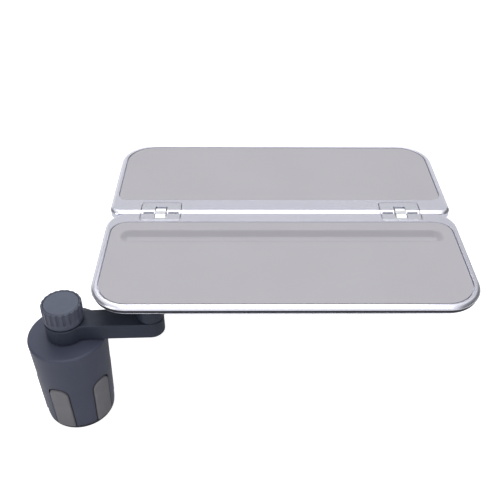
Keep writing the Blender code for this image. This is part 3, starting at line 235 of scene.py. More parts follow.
# Screws
# Zinc-plated steel screws with a cross recess and the soft grey gleam of the plating. Five hold the base
# plate, and four hold the tray's swivel flange. The heads are turned and the recess is pressed, so it has
# slanting walls. Their shanks run up into plastic bosses.
SCREW_HEAD = 2.8
SCREW_SHANK = 1.5
SCREW_TIP = 0.5
SCREW_TAPER = 1.4
SCREW_HEAD_HEIGHT = 1.5
RECESS_ARM = 1.75
RECESS_HALF = 0.36
RECESS_DEPTH = 1.1
RECESS_MOUTH = 0.6
RECESS_TURN = 0.4
RECESS_FLOOR_SHARES = (0.45, 0.7)
BASE_SCREW_FACE = 0.3
BASE_SCREW_END = 15.2


def place_at(shape, x, y, angle=0.0):
    """Turns a shape about the upright axis and moves it there."""
    place = Matrix.Translation((x, y, 0)) @ Matrix.Rotation(angle, 4, "Z")
    bmesh.ops.transform(shape, matrix=place, verts=shape.verts)
    return shape


def screw_shape(face, end, x, y):
    """A screw that is driven upwards, its head's flat face at one height and its tip at another."""
    shape = bmesh.new()
    spin_profile(shape, [
        (0, end), (SCREW_TIP, end), (SCREW_SHANK, end - SCREW_TAPER), (SCREW_SHANK, face + SCREW_HEAD_HEIGHT),
        (SCREW_HEAD - 0.15, face + 0.25), (SCREW_HEAD, face + 0.1), (SCREW_HEAD - 0.12, face), (0, face)],
        28, closed=False)
    return place_at(shape, x, y)


def recess_shapes(face, x, y):
    """The two crossing wedges that press a cross recess."""
    shapes = []
    for angle in (RECESS_TURN, RECESS_TURN + math.pi / 2):
        wedge = block((-RECESS_ARM, RECESS_ARM), (-RECESS_HALF, RECESS_HALF),
                      (face - RECESS_MOUTH, face + RECESS_DEPTH))
        for vert in wedge.verts:
            if vert.co.z > face:
                vert.co.x *= RECESS_FLOOR_SHARES[0]
                vert.co.y *= RECESS_FLOOR_SHARES[1]
        shapes.append(place_at(wedge, x, y, angle))
    return shapes


zinc_steel = start_material("zinc_plated_steel", "9C9EA3", 0.32, 1.0)
lay_grain(zinc_steel, 0.5, 0.004, "94969C", "A6A8AC", 0.26, 0.4, drift=3.0)
for k, (x, y) in enumerate(boss_spots):
    base_screw = form(f"base_screw_drive_{k + 1}", screw_shape(BASE_SCREW_FACE, BASE_SCREW_END, x, y),
                      zinc_steel, cuts=recess_shapes(BASE_SCREW_FACE, x, y))
    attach(base_screw, "base")
    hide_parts(f"base_screw_{k + 1}")

# Base shell
# The tapered cup of the base, moulded in slate grey ABS whose fine even grain leaves a dull satin. Five
# arched windows, open at the lower edge, let the jaws out. A slice with one window is bent round a cone and
# repeated, and the plain top is turned onto it.
BASE_HEIGHT = 99.5
TOP_RADIUS = 36.8
SHELL_WALL = 2.5
SHELL_FOOT = 3.7
SHELL_ROOF = 96.3
SHELL_EDGE = 2.4
SHELL_BAND = 80.0
SHELL_BORE = 6.5
BORE_EASE = 0.4
ROOF_BAND = 24.0
COLLAR = 62.0
WINDOW_HALF = 10.5
WINDOW_TOP = 58.1
WINDOW_CORNER = 8.5
WINDOW_EASE = 0.45
WINDOW_FRAME = 0.5
SLICE_STEP = 3
SLICE_HALF = 36


def arc_points(x, y, radius, start, end, steps):
    """Points along an arc, its angles in degrees."""
    angles = [math.radians(start + (end - start) * k / steps) for k in range(steps + 1)]
    return [(x + radius * math.cos(a), y + radius * math.sin(a)) for a in angles]


def arch_outline(half, low, top, corner):
    """An upright arch, from one foot over its two round corners to the other foot."""
    return [(half, low), *arc_points(half - corner, top - corner, corner, 0, 90, 12),
            *arc_points(corner - half, top - corner, corner, 90, 180, 12), (-half, low)]


def taper_radius(foot, z):
    """The cone's radius at a height, from its radius at the foot."""
    return foot + (TOP_RADIUS - FOOT_RADIUS) * z / BASE_HEIGHT


def slice_edge(z):
    """Half the width of a slice at a height."""
    return math.sin(math.radians(SLICE_HALF)) * taper_radius(FOOT_RADIUS, z)


def slab(outline, way):
    """A flat outline drawn out along a vector, as a new bmesh."""
    shape = bmesh.new()
    face = shape.faces.new([shape.verts.new(place) for place in outline])
    made = bmesh.ops.extrude_face_region(shape, geom=[face])["geom"]
    bmesh.ops.translate(shape, vec=way, verts=[g for g in made if isinstance(g, bmesh.types.BMVert)])
    bmesh.ops.recalc_face_normals(shape, faces=shape.faces)
    return shape


def ease_edges(shape, edges, width, segments):
    bmesh.ops.bevel(shape, geom=edges, offset=width, offset_type="OFFSET", affect="EDGES", segments=segments,
                    profile=0.5, material=-1)


def face_rims(shape):
    """The edges round a sheet's outer face, at an x of 0, but for those where the sheet ends open."""
    return [e for e in shape.edges if len(e.link_faces) == 2 and all(abs(v.co.x) < NEAR for v in e.verts)]


def whole(shape):
    return shape.verts[:] + shape.edges[:] + shape.faces[:]


def cut_slices(shape, foot, first, last):
    """Cuts a flat upright sheet along the lines that become the straight lines of the cone."""
    slope = (TOP_RADIUS - FOOT_RADIUS) / BASE_HEIGHT
    for degrees in range(first, last + 1, SLICE_STEP):
        lean = math.sin(math.radians(degrees))
        bmesh.ops.bisect_plane(shape, geom=whole(shape), dist=NEAR / 50, plane_co=(0, foot * lean, 0),
                               plane_no=Vector((0, 1, -slope * lean)).normalized())


def on_slice_side(point):
    return abs(abs(point.y) - slice_edge(point.z)) < NEAR or point.z > COLLAR - NEAR


outline = [(slice_edge(SHELL_FOOT), SHELL_FOOT),
           *arch_outline(WINDOW_HALF, SHELL_FOOT, WINDOW_TOP, WINDOW_CORNER),
           (-slice_edge(SHELL_FOOT), SHELL_FOOT), (-slice_edge(COLLAR), COLLAR), (slice_edge(COLLAR), COLLAR)]
shell_shape = slab([(0, y, z) for y, z in outline], (-SHELL_WALL, 0, 0))
bmesh.ops.delete(shell_shape, context="FACES_ONLY", geom=[
    f for f in shell_shape.faces if len(f.verts) == 4 and all(on_slice_side(v.co) for v in f.verts)])
ease_edges(shell_shape, face_rims(shell_shape), WINDOW_EASE, 3)
cut_slices(shell_shape, FOOT_RADIUS, SLICE_STEP - SLICE_HALF, SLICE_HALF - SLICE_STEP)
# The window's side walls go straight in, and the rest of the wall turns to the axis.
for vert in shell_shape.verts:
    y, z = vert.co.y, vert.co.z
    outer = taper_radius(FOOT_RADIUS, z)
    share = (outer + vert.co.x) / outer
    beside = min(1, max(0, (slice_edge(z) - abs(y)) / (slice_edge(z) - WINDOW_HALF - WINDOW_FRAME)))
    straight = beside * min(1, max(0, (COLLAR - z) / (COLLAR - WINDOW_TOP)))
    y *= share + (1 - share) * straight
    vert.co = (math.sqrt((outer * share) ** 2 - y * y), y, z)
place_at(shell_shape, 0, 0, JAW_ANGLES[0])
bmesh.ops.spin(shell_shape, geom=whole(shell_shape), cent=(0, 0, 0), axis=(0, 0, 1),
               angle=math.radians(360 - 360 / JAWS), steps=JAWS - 1, use_duplicate=True)
spin_profile(shell_shape, [
    (taper_radius(FOOT_RADIUS, COLLAR), COLLAR), (taper_radius(FOOT_RADIUS, SHELL_BAND), SHELL_BAND),
    *reversed(arc_points(TOP_RADIUS - SHELL_EDGE, BASE_HEIGHT - SHELL_EDGE, SHELL_EDGE, 90, 2, 7)),
    (ROOF_BAND, BASE_HEIGHT), (SHELL_BORE + BORE_EASE, BASE_HEIGHT), (SHELL_BORE, BASE_HEIGHT - BORE_EASE),
    (SHELL_BORE, SHELL_ROOF), (taper_radius(FOOT_RADIUS, SHELL_ROOF) - SHELL_WALL, SHELL_ROOF),
    (taper_radius(FOOT_RADIUS, COLLAR) - SHELL_WALL, COLLAR)],
    360 // SLICE_STEP, closed=False, first=JAW_ANGLES[0])
bmesh.ops.remove_doubles(shell_shape, verts=shell_shape.verts, dist=NEAR)
slate_abs = start_material("slate_abs_moulded", "4A4E60", 0.42, sheen=0.25)
lay_grain(slate_abs, 0.8, 0.018, "484C5E", "4D5163", 0.38, 0.48, drift=60.0)
base_shell = form("base_shell_moulding", shell_shape, slate_abs)
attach(base_shell, "base")
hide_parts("base_shell")

# Jaws and grip pads
# Each jaw is a near-black ABS slider with a foot that rides on the wedge. Its dark colour is partly painted
# shade for the narrow channel round its pad. Its face carries a pad of moulded rubber, dull and grey, that
# stands 1 mm proud of the shell and grips the cup holder's wall. The pad is a flat arched sheet bent round
# the same cone.
PAD_FOOT = 34.0
PAD_THICKNESS = 1.8
PAD_HALF = 9.2
PAD_TOP = 56.6
PAD_CORNER = 8.0
PAD_LOW = 3.9
PAD_ROUND = 0.7
PAD_SLICES = 15

# The jaws' near-black is partly painted shade, so that the channel round each pad reads dark.
jaw_abs_and_channel_shade = start_material("jaw_abs_with_channel_shade", "36373D", 0.5, sheen=0.25)
lay_grain(jaw_abs_and_channel_shade, 0.9, 0.02, "33343A", "393A40", 0.46, 0.56)
grip_rubber = start_material("grip_rubber_moulded", "807F84", 0.78, sheen=0.3)
lay_grain(grip_rubber, 1.1, 0.05, "7E7D82", "828186", 0.72, 0.86, drift=18.0)
for k, angle in enumerate(JAW_ANGLES):
    outline = arch_outline(PAD_HALF, PAD_LOW, PAD_TOP, PAD_CORNER)
    pad_shape = slab([(0, y, z) for y, z in outline], (-PAD_THICKNESS, 0, 0))
    ease_edges(pad_shape, face_rims(pad_shape), PAD_ROUND, 4)
    cut_slices(pad_shape, PAD_FOOT, -PAD_SLICES, PAD_SLICES)
    for vert in pad_shape.verts:
        radius = taper_radius(PAD_FOOT, vert.co.z) + vert.co.x
        vert.co.x = math.sqrt(radius * radius - vert.co.y ** 2)
    pad = form(f"grip_pad_{k + 1}", place_at(pad_shape, 0, 0, angle), grip_rubber)
    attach(pad, f"jaw_body_{k + 1}")
    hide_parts(f"jaw_pad_{k + 1}")
    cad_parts[f"jaw_{k + 1}"].material_slots[0].material = jaw_abs_and_channel_shade

# Wedge nut, spindle and rings
# Inside the base a ground steel spindle, bright with a fine grain, turns in the nut, a milky cone of natural
# nylon whose rails push the jaws out. Black spring-steel rings hold the spindle under the shell's roof and
# the arm on its neck of turned aluminium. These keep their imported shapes.
nylon = start_material("natural_nylon", "C9C6BC", 0.45)
lay_grain(nylon, 1.2, 0.02, "C4C1B6", "CFCCC3", 0.4, 0.5)
ground_steel = start_material("ground_steel", "A9ABB0", 0.28, 1.0)
lay_grain(ground_steel, 0.4, 0.003, "A2A4A9", "B2B4B8", 0.22, 0.34, drift=6.0)
black_steel = start_material("blackened_spring_steel", "3A3A3C", 0.38, 0.9)
lay_grain(black_steel, 0.4, 0.003, "343436", "424244", 0.32, 0.46, drift=4.0)
natural_pom = start_material("natural_acetal", "E4E2DA", 0.5)
lay_grain(natural_pom, 1.0, 0.01, "DFDDD4", "E8E6DF", 0.44, 0.54)
turned_aluminium = start_material("turned_aluminium", "B9BABE", 0.36, 1.0)
lay_grain(turned_aluminium, 0.4, 0.004, "B2B3B8", "C2C3C6", 0.3, 0.42, drift=5.0)
for material, names in (
        (nylon, ("wedge_nut",)), (ground_steel, ("spindle", "swivel_pivot_washer")),
        (black_steel, ("spindle_clip", "hub_circlip")), (natural_pom, ("elbow_washer", "swivel_washer")),
        (turned_aluminium, ("pivot_neck",)),
        (zinc_steel, ("neck_screw_1", "neck_screw_2", "neck_screw_3", "knob_screw", "elbow_bolt"))):
    for name in names:
        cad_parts[name].material_slots[0].material = material

# Knob
# The hand knob that turns the spindle, moulded in grey ABS with a satin grain. Twenty flutes give grip and
# run out above a plain skirt. Its middle is hollow round a boss that takes the spindle, and a flat disc of
# the same plastic, a little glossier, is pressed into its top.
KNOB_RADIUS = 18.4
KNOB_LOW = 118.4
KNOB_TOP = 137.5
KNOB_EDGE = 1.2
KNOB_HOLLOW = 15.6
KNOB_BOSS = 9.0
KNOB_BOSS_LOW = 117.6
KNOB_ROOF = 2.8
SPINDLE_SOCKET = 5.3
SPINDLE_END = 129.0
KNOB_SCREW_HOLE = 2.5
KNOB_SCREW_SEAT = 4.5
KNOB_SCREW_DEPTH = 2.4
FLUTES = 20
FLUTE_RADIUS = 1.25
FLUTE_CENTRE = KNOB_RADIUS - 0.05
FLUTE_LOW = 124.0
FLUTE_RUN_OUT = 0.9
FLUTE_RINGS = (132, 127, 125.4, 124.9, 124.4, 123.9, 123.2)
SKIRT_TOP = 120.0
CAP_RADIUS = 16.0
CAP_THICKNESS = 1.6
CAP_GAP = 0.3
CAP_SEAT = CAP_RADIUS + CAP_GAP
CAP_LIP = 0.15
CAP_TOP = KNOB_TOP - 0.05
CAP_LOW = KNOB_TOP - CAP_THICKNESS
CAP_BAND = 10.0
CAP_ROUND = 0.6
STEPS_PER_FLUTE = 16

knob_shape = bmesh.new()
seat = CAP_LOW - CAP_GAP
sink = seat - KNOB_SCREW_DEPTH
spin_profile(knob_shape, [
    (CAP_SEAT + CAP_LIP, KNOB_TOP),
    *arc_points(KNOB_RADIUS - KNOB_EDGE, KNOB_TOP - KNOB_EDGE, KNOB_EDGE, 90, 0, 6),
    *[(KNOB_RADIUS, z) for z in (*FLUTE_RINGS, KNOB_LOW + 2.5)],
    (KNOB_RADIUS - 0.5, KNOB_LOW + 1.0), (KNOB_RADIUS - 0.9, KNOB_LOW),
    (KNOB_HOLLOW, KNOB_LOW), (KNOB_HOLLOW, sink - KNOB_ROOF), (KNOB_BOSS, sink - KNOB_ROOF),
    (KNOB_BOSS, KNOB_BOSS_LOW), (SPINDLE_SOCKET, KNOB_BOSS_LOW), (SPINDLE_SOCKET, SPINDLE_END),
    (KNOB_SCREW_HOLE, SPINDLE_END), (KNOB_SCREW_HOLE, sink), (KNOB_SCREW_SEAT, sink), (KNOB_SCREW_SEAT, seat),
    (CAP_SEAT, seat), (CAP_SEAT, KNOB_TOP - CAP_LIP)], FLUTES * STEPS_PER_FLUTE)
# Each flute is a round groove that ends in a quarter of a ball.
for vert in knob_shape.verts:
    x, y, z = vert.co
    radius = math.hypot(x, y)
    if radius < CAP_SEAT + 0.05 or z < SKIRT_TOP:
        continue
    turn = math.atan2(y, x) / (2 * math.pi / FLUTES)
    across = abs(turn - round(turn)) * 2 * math.pi / FLUTES * FLUTE_CENTRE
    reach = math.hypot(across, max(0, FLUTE_LOW + FLUTE_RUN_OUT - z))
    if reach < FLUTE_RADIUS:
        fluted = FLUTE_CENTRE - math.sqrt(FLUTE_RADIUS ** 2 - reach ** 2)
        vert.co.xy *= min(1, fluted / radius)
knob_abs = start_material("knob_abs_moulded", "545868", 0.4, sheen=0.25)
lay_grain(knob_abs, 0.8, 0.015, "525666", "575B6B", 0.36, 0.46, drift=20.0)
knob = form("knob_moulding", knob_shape, knob_abs)
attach(knob, "knob_and_spindle")
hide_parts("knob")

cap_shape = bmesh.new()
spin_profile(cap_shape, [
    (0, CAP_TOP), (CAP_BAND, CAP_TOP), (CAP_RADIUS - CAP_ROUND, CAP_TOP), (CAP_RADIUS - 0.2, KNOB_TOP - 0.2),
    (CAP_RADIUS, KNOB_TOP - CAP_ROUND), (CAP_RADIUS, CAP_LOW), (0, CAP_LOW)], 96, closed=False)
cap_abs = start_material("knob_cap_abs", "575D6E", 0.34, sheen=0.35)
lay_grain(cap_abs, 0.7, 0.008, "555B6C", "596071", 0.31, 0.4, drift=12.0)
knob_cap = form("knob_cap_disc", cap_shape, cap_abs)
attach(knob_cap, "knob_and_spindle")
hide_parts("knob_cap")

# Lower arm
# A flat bar of glass-filled nylon, charcoal and slightly dull, from the hub that turns on the base's neck to
# the elbow eye. The top is closed and the underside is cored out in two pockets with a rib between them, as
# such mouldings are. The bores take the neck and its ring, the bolt and its head, and the elbow's washer.
HUB_LOW = 100.5
HUB_TOP = 117.3
HUB_RADIUS = 18.5
HUB_FILLET = 10.0
HUB_BORE = 9.8
NECK_SEAT = 16.1
NECK_SEAT_TOP = 102.7
RING_SEAT = 12.9
RING_SEAT_LOW = 114.1
BOLT_HOLE = 4.3
BOLT_SEAT = 8.6
BOLT_SEAT_TOP = 107.3
WASHER_SEAT = 10.3
WASHER_SEAT_LOW = 116.2
LOWER_HALF = 11.3
ELBOW_EYE = 12.5
LOWER_LENGTH = 79.1
LOWER_ANGLE = math.radians(3.1)
ARM_EDGE = 1.2
ARM_WALL = 2.6
ARM_ROOF = 1.2 * ARM_WALL


def bar_outline(hub, half, eye, length, steps=12):
    """A bar that flares into a round hub at the origin and ends in a round eye."""
    middle = math.sqrt((hub + HUB_FILLET) ** 2 - (half + HUB_FILLET) ** 2)
    touch = math.degrees(math.atan2(half + HUB_FILLET, middle))
    return (arc_points(0, 0, hub, touch, 360 - touch, 4 * steps)
            + arc_points(middle, -half - HUB_FILLET, HUB_FILLET, 180 - touch, 90, steps // 2)[1:]
            + arc_points(length, 0, eye, -90, 90, 2 * steps)
            + arc_points(middle, half + HUB_FILLET, HUB_FILLET, 270, 180 + touch, steps // 2)[:-1])


def bar_shape(outline, low, high):
    """A bar of even thickness with both its edges rounded."""
    shape = slab([(x, y, low) for x, y in outline], (0, 0, high - low))
    rims = [e for e in shape.edges if abs(e.verts[0].co.z - e.verts[1].co.z) < NEAR]
    ease_edges(shape, rims, ARM_EDGE, 4)
    return shape


def arm_pockets(start, end, half, low, ceiling):
    middle = (start + end) / 2
    return [block((start, middle - ARM_WALL / 2), (-half, half), (low, ceiling)),
            block((middle + ARM_WALL / 2, end), (-half, half), (low, ceiling))]


charcoal_nylon = start_material("charcoal_glass_nylon", "2F3543", 0.45, sheen=0.25)
lay_grain(charcoal_nylon, 1.0, 0.02, "2D3341", "323846", 0.4, 0.52, drift=25.0)
below, above = HUB_LOW - PAST, HUB_TOP + PAST
lower_cuts = [
    rod(HUB_BORE, below, above, 64), rod(NECK_SEAT, below, NECK_SEAT_TOP, 72),
    rod(RING_SEAT, RING_SEAT_LOW, above, 64), rod(BOLT_HOLE, below, above, 32, LOWER_LENGTH),
    rod(BOLT_SEAT, below, BOLT_SEAT_TOP, 48, LOWER_LENGTH),
    rod(WASHER_SEAT, WASHER_SEAT_LOW, above, 48, LOWER_LENGTH),
    *arm_pockets(HUB_RADIUS + 2, LOWER_LENGTH - ELBOW_EYE - 1, LOWER_HALF - ARM_WALL, below,
                 HUB_TOP - ARM_ROOF)]
lower_bar = bar_shape(bar_outline(HUB_RADIUS, LOWER_HALF, ELBOW_EYE, LOWER_LENGTH), HUB_LOW, HUB_TOP)
lower_arm = form("lower_arm_moulding", place_at(lower_bar, 0, 0, LOWER_ANGLE), charcoal_nylon,
                 cuts=[place_at(cut, 0, 0, LOWER_ANGLE) for cut in lower_cuts])
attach(lower_arm, "lower_arm_body")
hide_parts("lower_arm")

# Elbow
# A bolt clamps the two arms on a low-friction washer. Its zinc-plated nut lies in the upper arm's top, and
# its head is hidden from below by a plug of the arm's own nylon, which is pressed in.
ELBOW_X = LOWER_LENGTH * math.cos(LOWER_ANGLE)
ELBOW_Y = LOWER_LENGTH * math.sin(LOWER_ANGLE)
PLUG_RADIUS = 8.3
PLUG_FACE = HUB_LOW + 0.1
PLUG_TOP = HUB_LOW + 1.4
PLUG_ROUND = 0.4
NUT_RADIUS = 7.4
NUT_LOW = 124.8
NUT_TOP = 130.8
NUT_TURN = math.radians(58)
CHAMFER_INNER = 6.2
CHAMFER_OUTER = 9.0
CHAMFER_DROP = 1.3

plug_shape = bmesh.new()
spin_profile(plug_shape, [
    (0, PLUG_TOP), (PLUG_RADIUS, PLUG_TOP), (PLUG_RADIUS, PLUG_FACE + PLUG_ROUND),
    (PLUG_RADIUS - 0.15, PLUG_FACE + 0.1), (PLUG_RADIUS - PLUG_ROUND, PLUG_FACE), (0, PLUG_FACE)],
    64, closed=False)
elbow_plug = form("elbow_plug", place_at(plug_shape, ELBOW_X, ELBOW_Y), charcoal_nylon)
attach(elbow_plug, "lower_arm_body")
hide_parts("elbow_cap")

chamfer = bmesh.new()
spin_profile(chamfer, [
    (CHAMFER_INNER, NUT_TOP + 0.02), (CHAMFER_OUTER, NUT_TOP - CHAMFER_DROP), (CHAMFER_OUTER, NUT_TOP + 1),
    (CHAMFER_INNER, NUT_TOP + 1)], 48)
nut_cuts = [place_at(chamfer, ELBOW_X, ELBOW_Y),
            rod(BOLT_HOLE, NUT_LOW - PAST, NUT_TOP + PAST, 32, ELBOW_X, ELBOW_Y)]
elbow_nut = form("elbow_nut_hex", place_at(rod(NUT_RADIUS, NUT_LOW, NUT_TOP, 6), ELBOW_X, ELBOW_Y, NUT_TURN),
                 zinc_steel, cuts=nut_cuts)
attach(elbow_nut, "upper_arm_body")
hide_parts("elbow_nut")

# Upper arm
# The second bar, of the same nylon, lies on the lower one and ends in a boss that carries the tray's pivot.
# The bars are alike, with rounded edges, a closed top and a cored underside. The bores take the bolt and its
# nut, and the swivel's spigot and its washer.
UPPER_LOW = 117.9
UPPER_TOP = 131.1
UPPER_HALF = 10.8
UPPER_LENGTH = 84.0
ELBOW_BEND = math.radians(54.9)
UPPER_ANGLE = LOWER_ANGLE + ELBOW_BEND
NUT_SEAT_LOW = 124.5
SWIVEL_EYE = 14.0
SPIGOT_HOLE = 6.3
SPIGOT_LOW = 122.2
PIVOT_WASHER_SEAT = 9.4
BOSS_RADIUS = SWIVEL_EYE - 2 * ARM_EDGE
BOSS_TOP = 133.1
BOSS_EASE = 0.4

below, above = UPPER_LOW - PAST, BOSS_TOP + PAST
upper_cuts = [
    rod(BOLT_HOLE, below, above, 32), rod(BOLT_SEAT, NUT_SEAT_LOW, above, 48),
    rod(SPIGOT_HOLE, below, above, 40, UPPER_LENGTH),
    rod(PIVOT_WASHER_SEAT, below, SPIGOT_LOW, 48, UPPER_LENGTH),
    *arm_pockets(ELBOW_EYE + 2, UPPER_LENGTH - SWIVEL_EYE - 1, UPPER_HALF - ARM_WALL, below,
                 UPPER_TOP - ARM_ROOF)]
boss = bmesh.new()
spin_profile(boss, [
    (0, BOSS_TOP), (BOSS_RADIUS - BOSS_EASE, BOSS_TOP), (BOSS_RADIUS, BOSS_TOP - BOSS_EASE),
    (BOSS_RADIUS, UPPER_TOP - 2), (0, UPPER_TOP - 2)], 64, closed=False)
upper_bar = bar_shape(bar_outline(ELBOW_EYE, UPPER_HALF, SWIVEL_EYE, UPPER_LENGTH), UPPER_LOW, UPPER_TOP)
upper_arm = form("upper_arm_moulding", place_at(upper_bar, ELBOW_X, ELBOW_Y, UPPER_ANGLE), charcoal_nylon,
                 joins=[place_at(place_at(boss, UPPER_LENGTH, 0), ELBOW_X, ELBOW_Y, UPPER_ANGLE)],
                 cuts=[place_at(cut, ELBOW_X, ELBOW_Y, UPPER_ANGLE) for cut in upper_cuts])
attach(upper_arm, "upper_arm_body")
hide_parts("upper_arm")

# Tray swivel
# A round flange of the same nylon under the front leaf, with a spigot that turns in the upper arm's boss.
# Four screws hold it to the tray, and a fifth with a washer keeps the spigot in the boss.
SWIVEL_X = ELBOW_X + UPPER_LENGTH * math.cos(UPPER_ANGLE)
SWIVEL_Y = ELBOW_Y + UPPER_LENGTH * math.sin(UPPER_ANGLE)
FLANGE_RADIUS = 28.0
FLANGE_TOP = 137.7
FLANGE_LOW = 134.6
FLANGE_WAIST = 16.5
FLANGE_RISE = 1.395
FLANGE_EDGE = 0.6
SPIGOT = 6.0
SPIGOT_EASE = 0.4
FLANGE_CIRCLE = 22.0
FLANGE_SCREW_SEAT = FLANGE_LOW + (FLANGE_CIRCLE - FLANGE_WAIST) / (FLANGE_RADIUS - FLANGE_WAIST) * FLANGE_RISE
FLANGE_SCREW_FACE = FLANGE_SCREW_SEAT - 0.6
FLANGE_SCREW_END = 142.6
PIVOT_HOLE = 2.1
PIVOT_FACE = 118.2
PIVOT_HEAD = 5.0
PIVOT_HEAD_TOP = PIVOT_FACE + 2.1
PIVOT_SHANK = 1.8
PIVOT_END = 132.6

flange_shape = bmesh.new()
spin_profile(flange_shape, [
    (0, FLANGE_TOP), (FLANGE_RADIUS - FLANGE_EDGE, FLANGE_TOP), (FLANGE_RADIUS - 0.17, FLANGE_TOP - 0.17),
    (FLANGE_RADIUS, FLANGE_TOP - FLANGE_EDGE), (FLANGE_RADIUS, FLANGE_LOW + 1.7),
    (FLANGE_RADIUS - 0.3, FLANGE_LOW + 1.36), (FLANGE_WAIST, FLANGE_LOW), (SPIGOT + SPIGOT_EASE, FLANGE_LOW),
    (SPIGOT, FLANGE_LOW - SPIGOT_EASE), (SPIGOT, SPIGOT_LOW + 0.6), (SPIGOT - 0.6, SPIGOT_LOW),
    (PIVOT_HOLE, SPIGOT_LOW), (PIVOT_HOLE, FLANGE_LOW), (0, FLANGE_LOW)], 96, closed=False)
flange_spots = [(SWIVEL_X + x, SWIVEL_Y + y) for x, y in ring_spots(FLANGE_CIRCLE, 4, math.pi / 4)]
below, above = FLANGE_LOW - PAST, FLANGE_TOP + PAST
swivel_flange = form("swivel_flange", place_at(flange_shape, SWIVEL_X, SWIVEL_Y), charcoal_nylon, cuts=[
    *[rod(SCREW_HOLE, below, above, 20, *spot) for spot in flange_spots],
    *[rod(SCREW_SINK, below, FLANGE_SCREW_SEAT + 1.2, 32, *spot) for spot in flange_spots]])
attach(swivel_flange, "front_leaf")
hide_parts("swivel_plate")
for k, (x, y) in enumerate(flange_spots):
    flange_screw = form(f"flange_screw_drive_{k + 1}", screw_shape(FLANGE_SCREW_FACE, FLANGE_SCREW_END, x, y),
                        zinc_steel, cuts=recess_shapes(FLANGE_SCREW_FACE, x, y))
    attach(flange_screw, "front_leaf")
    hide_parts(f"swivel_screw_{k + 1}")

pivot_shape = bmesh.new()
spin_profile(pivot_shape, [
    (0, PIVOT_END), (PIVOT_SHANK, PIVOT_END - 1), (PIVOT_SHANK, PIVOT_HEAD_TOP), (PIVOT_HEAD, PIVOT_HEAD_TOP),
    (PIVOT_HEAD, PIVOT_FACE + 1.0), (PIVOT_HEAD * 0.9, PIVOT_FACE + 0.4),
    (PIVOT_HEAD * 0.62, PIVOT_FACE + 0.05), (0, PIVOT_FACE)], 40, closed=False)
pivot_screw = form("pivot_screw_drive", place_at(pivot_shape, SWIVEL_X, SWIVEL_Y), zinc_steel,
                   cuts=recess_shapes(PIVOT_FACE + 0.1, SWIVEL_X, SWIVEL_Y))
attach(pivot_screw, "front_leaf")
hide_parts("swivel_pivot_screw")

# Leaf frames
# Each leaf is a moulded ABS frame with rounded edges, lacquered in satin silver that mirrors what stands
# round it softly. Its top is sunk for the insert and the two hinge plates, and its underside for a cover. A
# dark strip in a seam round three sides is painted shade in that seam, and the front leaf's hinge edge is
# sharper than the others.
LEAVES = (("front", True), ("rear", False))
TRAY_WIDTH = 355.5
FRONT_DEPTH = 143.4
REAR_DEPTH = 138.4
LEAF_GAP = 1.2
TRAY_LOW = 138.0
TRAY_TOP = 150.0
LEAF_EDGE = 4.2
LEAF_UNDER_EDGE = 5.6
FRONT_HINGE_EDGE = 2.0
LIP_INSET = 1.7
LIP_ROUND = 0.5
LIP_EASE = 0.2
SEAM_LOW = 142.0
SEAM_TOP = 146.2
SEAM_DEPTH = 2.0
SEAM_EASE = 0.3
SEAM_END = 0.4
STRIP_ROOM = 0.2
STRIP_STANDS = 0.5
STRIP_SINKS = 0.05
OUTER_CORNER = 35.0
FRONT_INNER_CORNER = 22.0
REAR_INNER_CORNER = 11.0
RIM = 5.5
SIDE_RIM = 6.8
FRONT_HINGE_RIM = 15.3
REAR_HINGE_RIM = 22.5
INSERT_GAP = 0.7
FRONT_PANEL_GAP = 0.8
HINGE_SIDE_SHARE = 0.25
SEAT_LIP = 0.35
SEAT_LIP_ANGLES = [math.radians(degrees) for degrees in (30, 60, 85)]
FLOOR_TOP = 146.9
FLOOR_LOW = 144.7
COVER_SEAT = 8.0
COVER_GAP = 0.3
TROUGH_LENGTH = 324.0
TROUGH_WIDTH = 21.5
TROUGH_ROOM = 4.0
TROUGH_ROOM_LOW = TRAY_LOW + 2.3
SWIVEL_FROM_MIDDLE = 80.5
SWIVEL_FROM_FRONT = 96.0
TROUGH_FROM_HINGE = 38.3
HINGE_SPREAD = 124.0
TRAY_MIDDLE = SWIVEL_X + SWIVEL_FROM_MIDDLE
TRAY_LEFT = TRAY_MIDDLE - TRAY_WIDTH / 2
TRAY_RIGHT = TRAY_MIDDLE + TRAY_WIDTH / 2
FRONT_Y = SWIVEL_Y - SWIVEL_FROM_FRONT
FRONT_HINGE_Y = FRONT_Y + FRONT_DEPTH
REAR_HINGE_Y = FRONT_HINGE_Y + LEAF_GAP
REAR_Y = REAR_HINGE_Y + REAR_DEPTH
HINGE_Y = (FRONT_HINGE_Y + REAR_HINGE_Y) / 2
TROUGH_Y = FRONT_HINGE_Y - TROUGH_FROM_HINGE
HINGE_PLACES = {"left": TRAY_MIDDLE - HINGE_SPREAD, "right": TRAY_MIDDLE + HINGE_SPREAD}
HINGE_HALF = 20.3
HINGE_PAST = 6.0
FRONT_PLATE_DEPTH = 12.8
REAR_PLATE_DEPTH = 17.6
PLATE_LOW = 141.5
PLATE_CORNER = 4.0
SEAT_GAP = 0.7
SEAT_END_GAP = 0.3
SEAT_MOUTH_CORNER = 0.5


def round_box(x0, x1, y0, y1, radii, steps):
    """Outline with its own radius at each corner: front left, front right, rear right, rear left."""
    a, b, c, d = radii
    return (arc_points(x0 + a, y0 + a, a, 180, 270, steps) + arc_points(x1 - b, y0 + b, b, 270, 360, steps)
            + arc_points(x1 - c, y1 - c, c, 0, 90, steps) + arc_points(x0 + d, y1 - d, d, 90, 180, steps))


def leaf_plan(front, side, edge, hinge, outer, inner, steps):
    """Plan that stays in from a leaf's sides, its outer edge and its hinge edge, with its radii there."""
    left, right = TRAY_LEFT + side, TRAY_RIGHT - side
    if front:
        return round_box(left, right, FRONT_Y + edge, FRONT_HINGE_Y - hinge,
                         (outer, outer, inner, inner), steps)
    return round_box(left, right, REAR_HINGE_Y + hinge, REAR_Y - edge,
                     (inner, inner, outer, outer), steps)


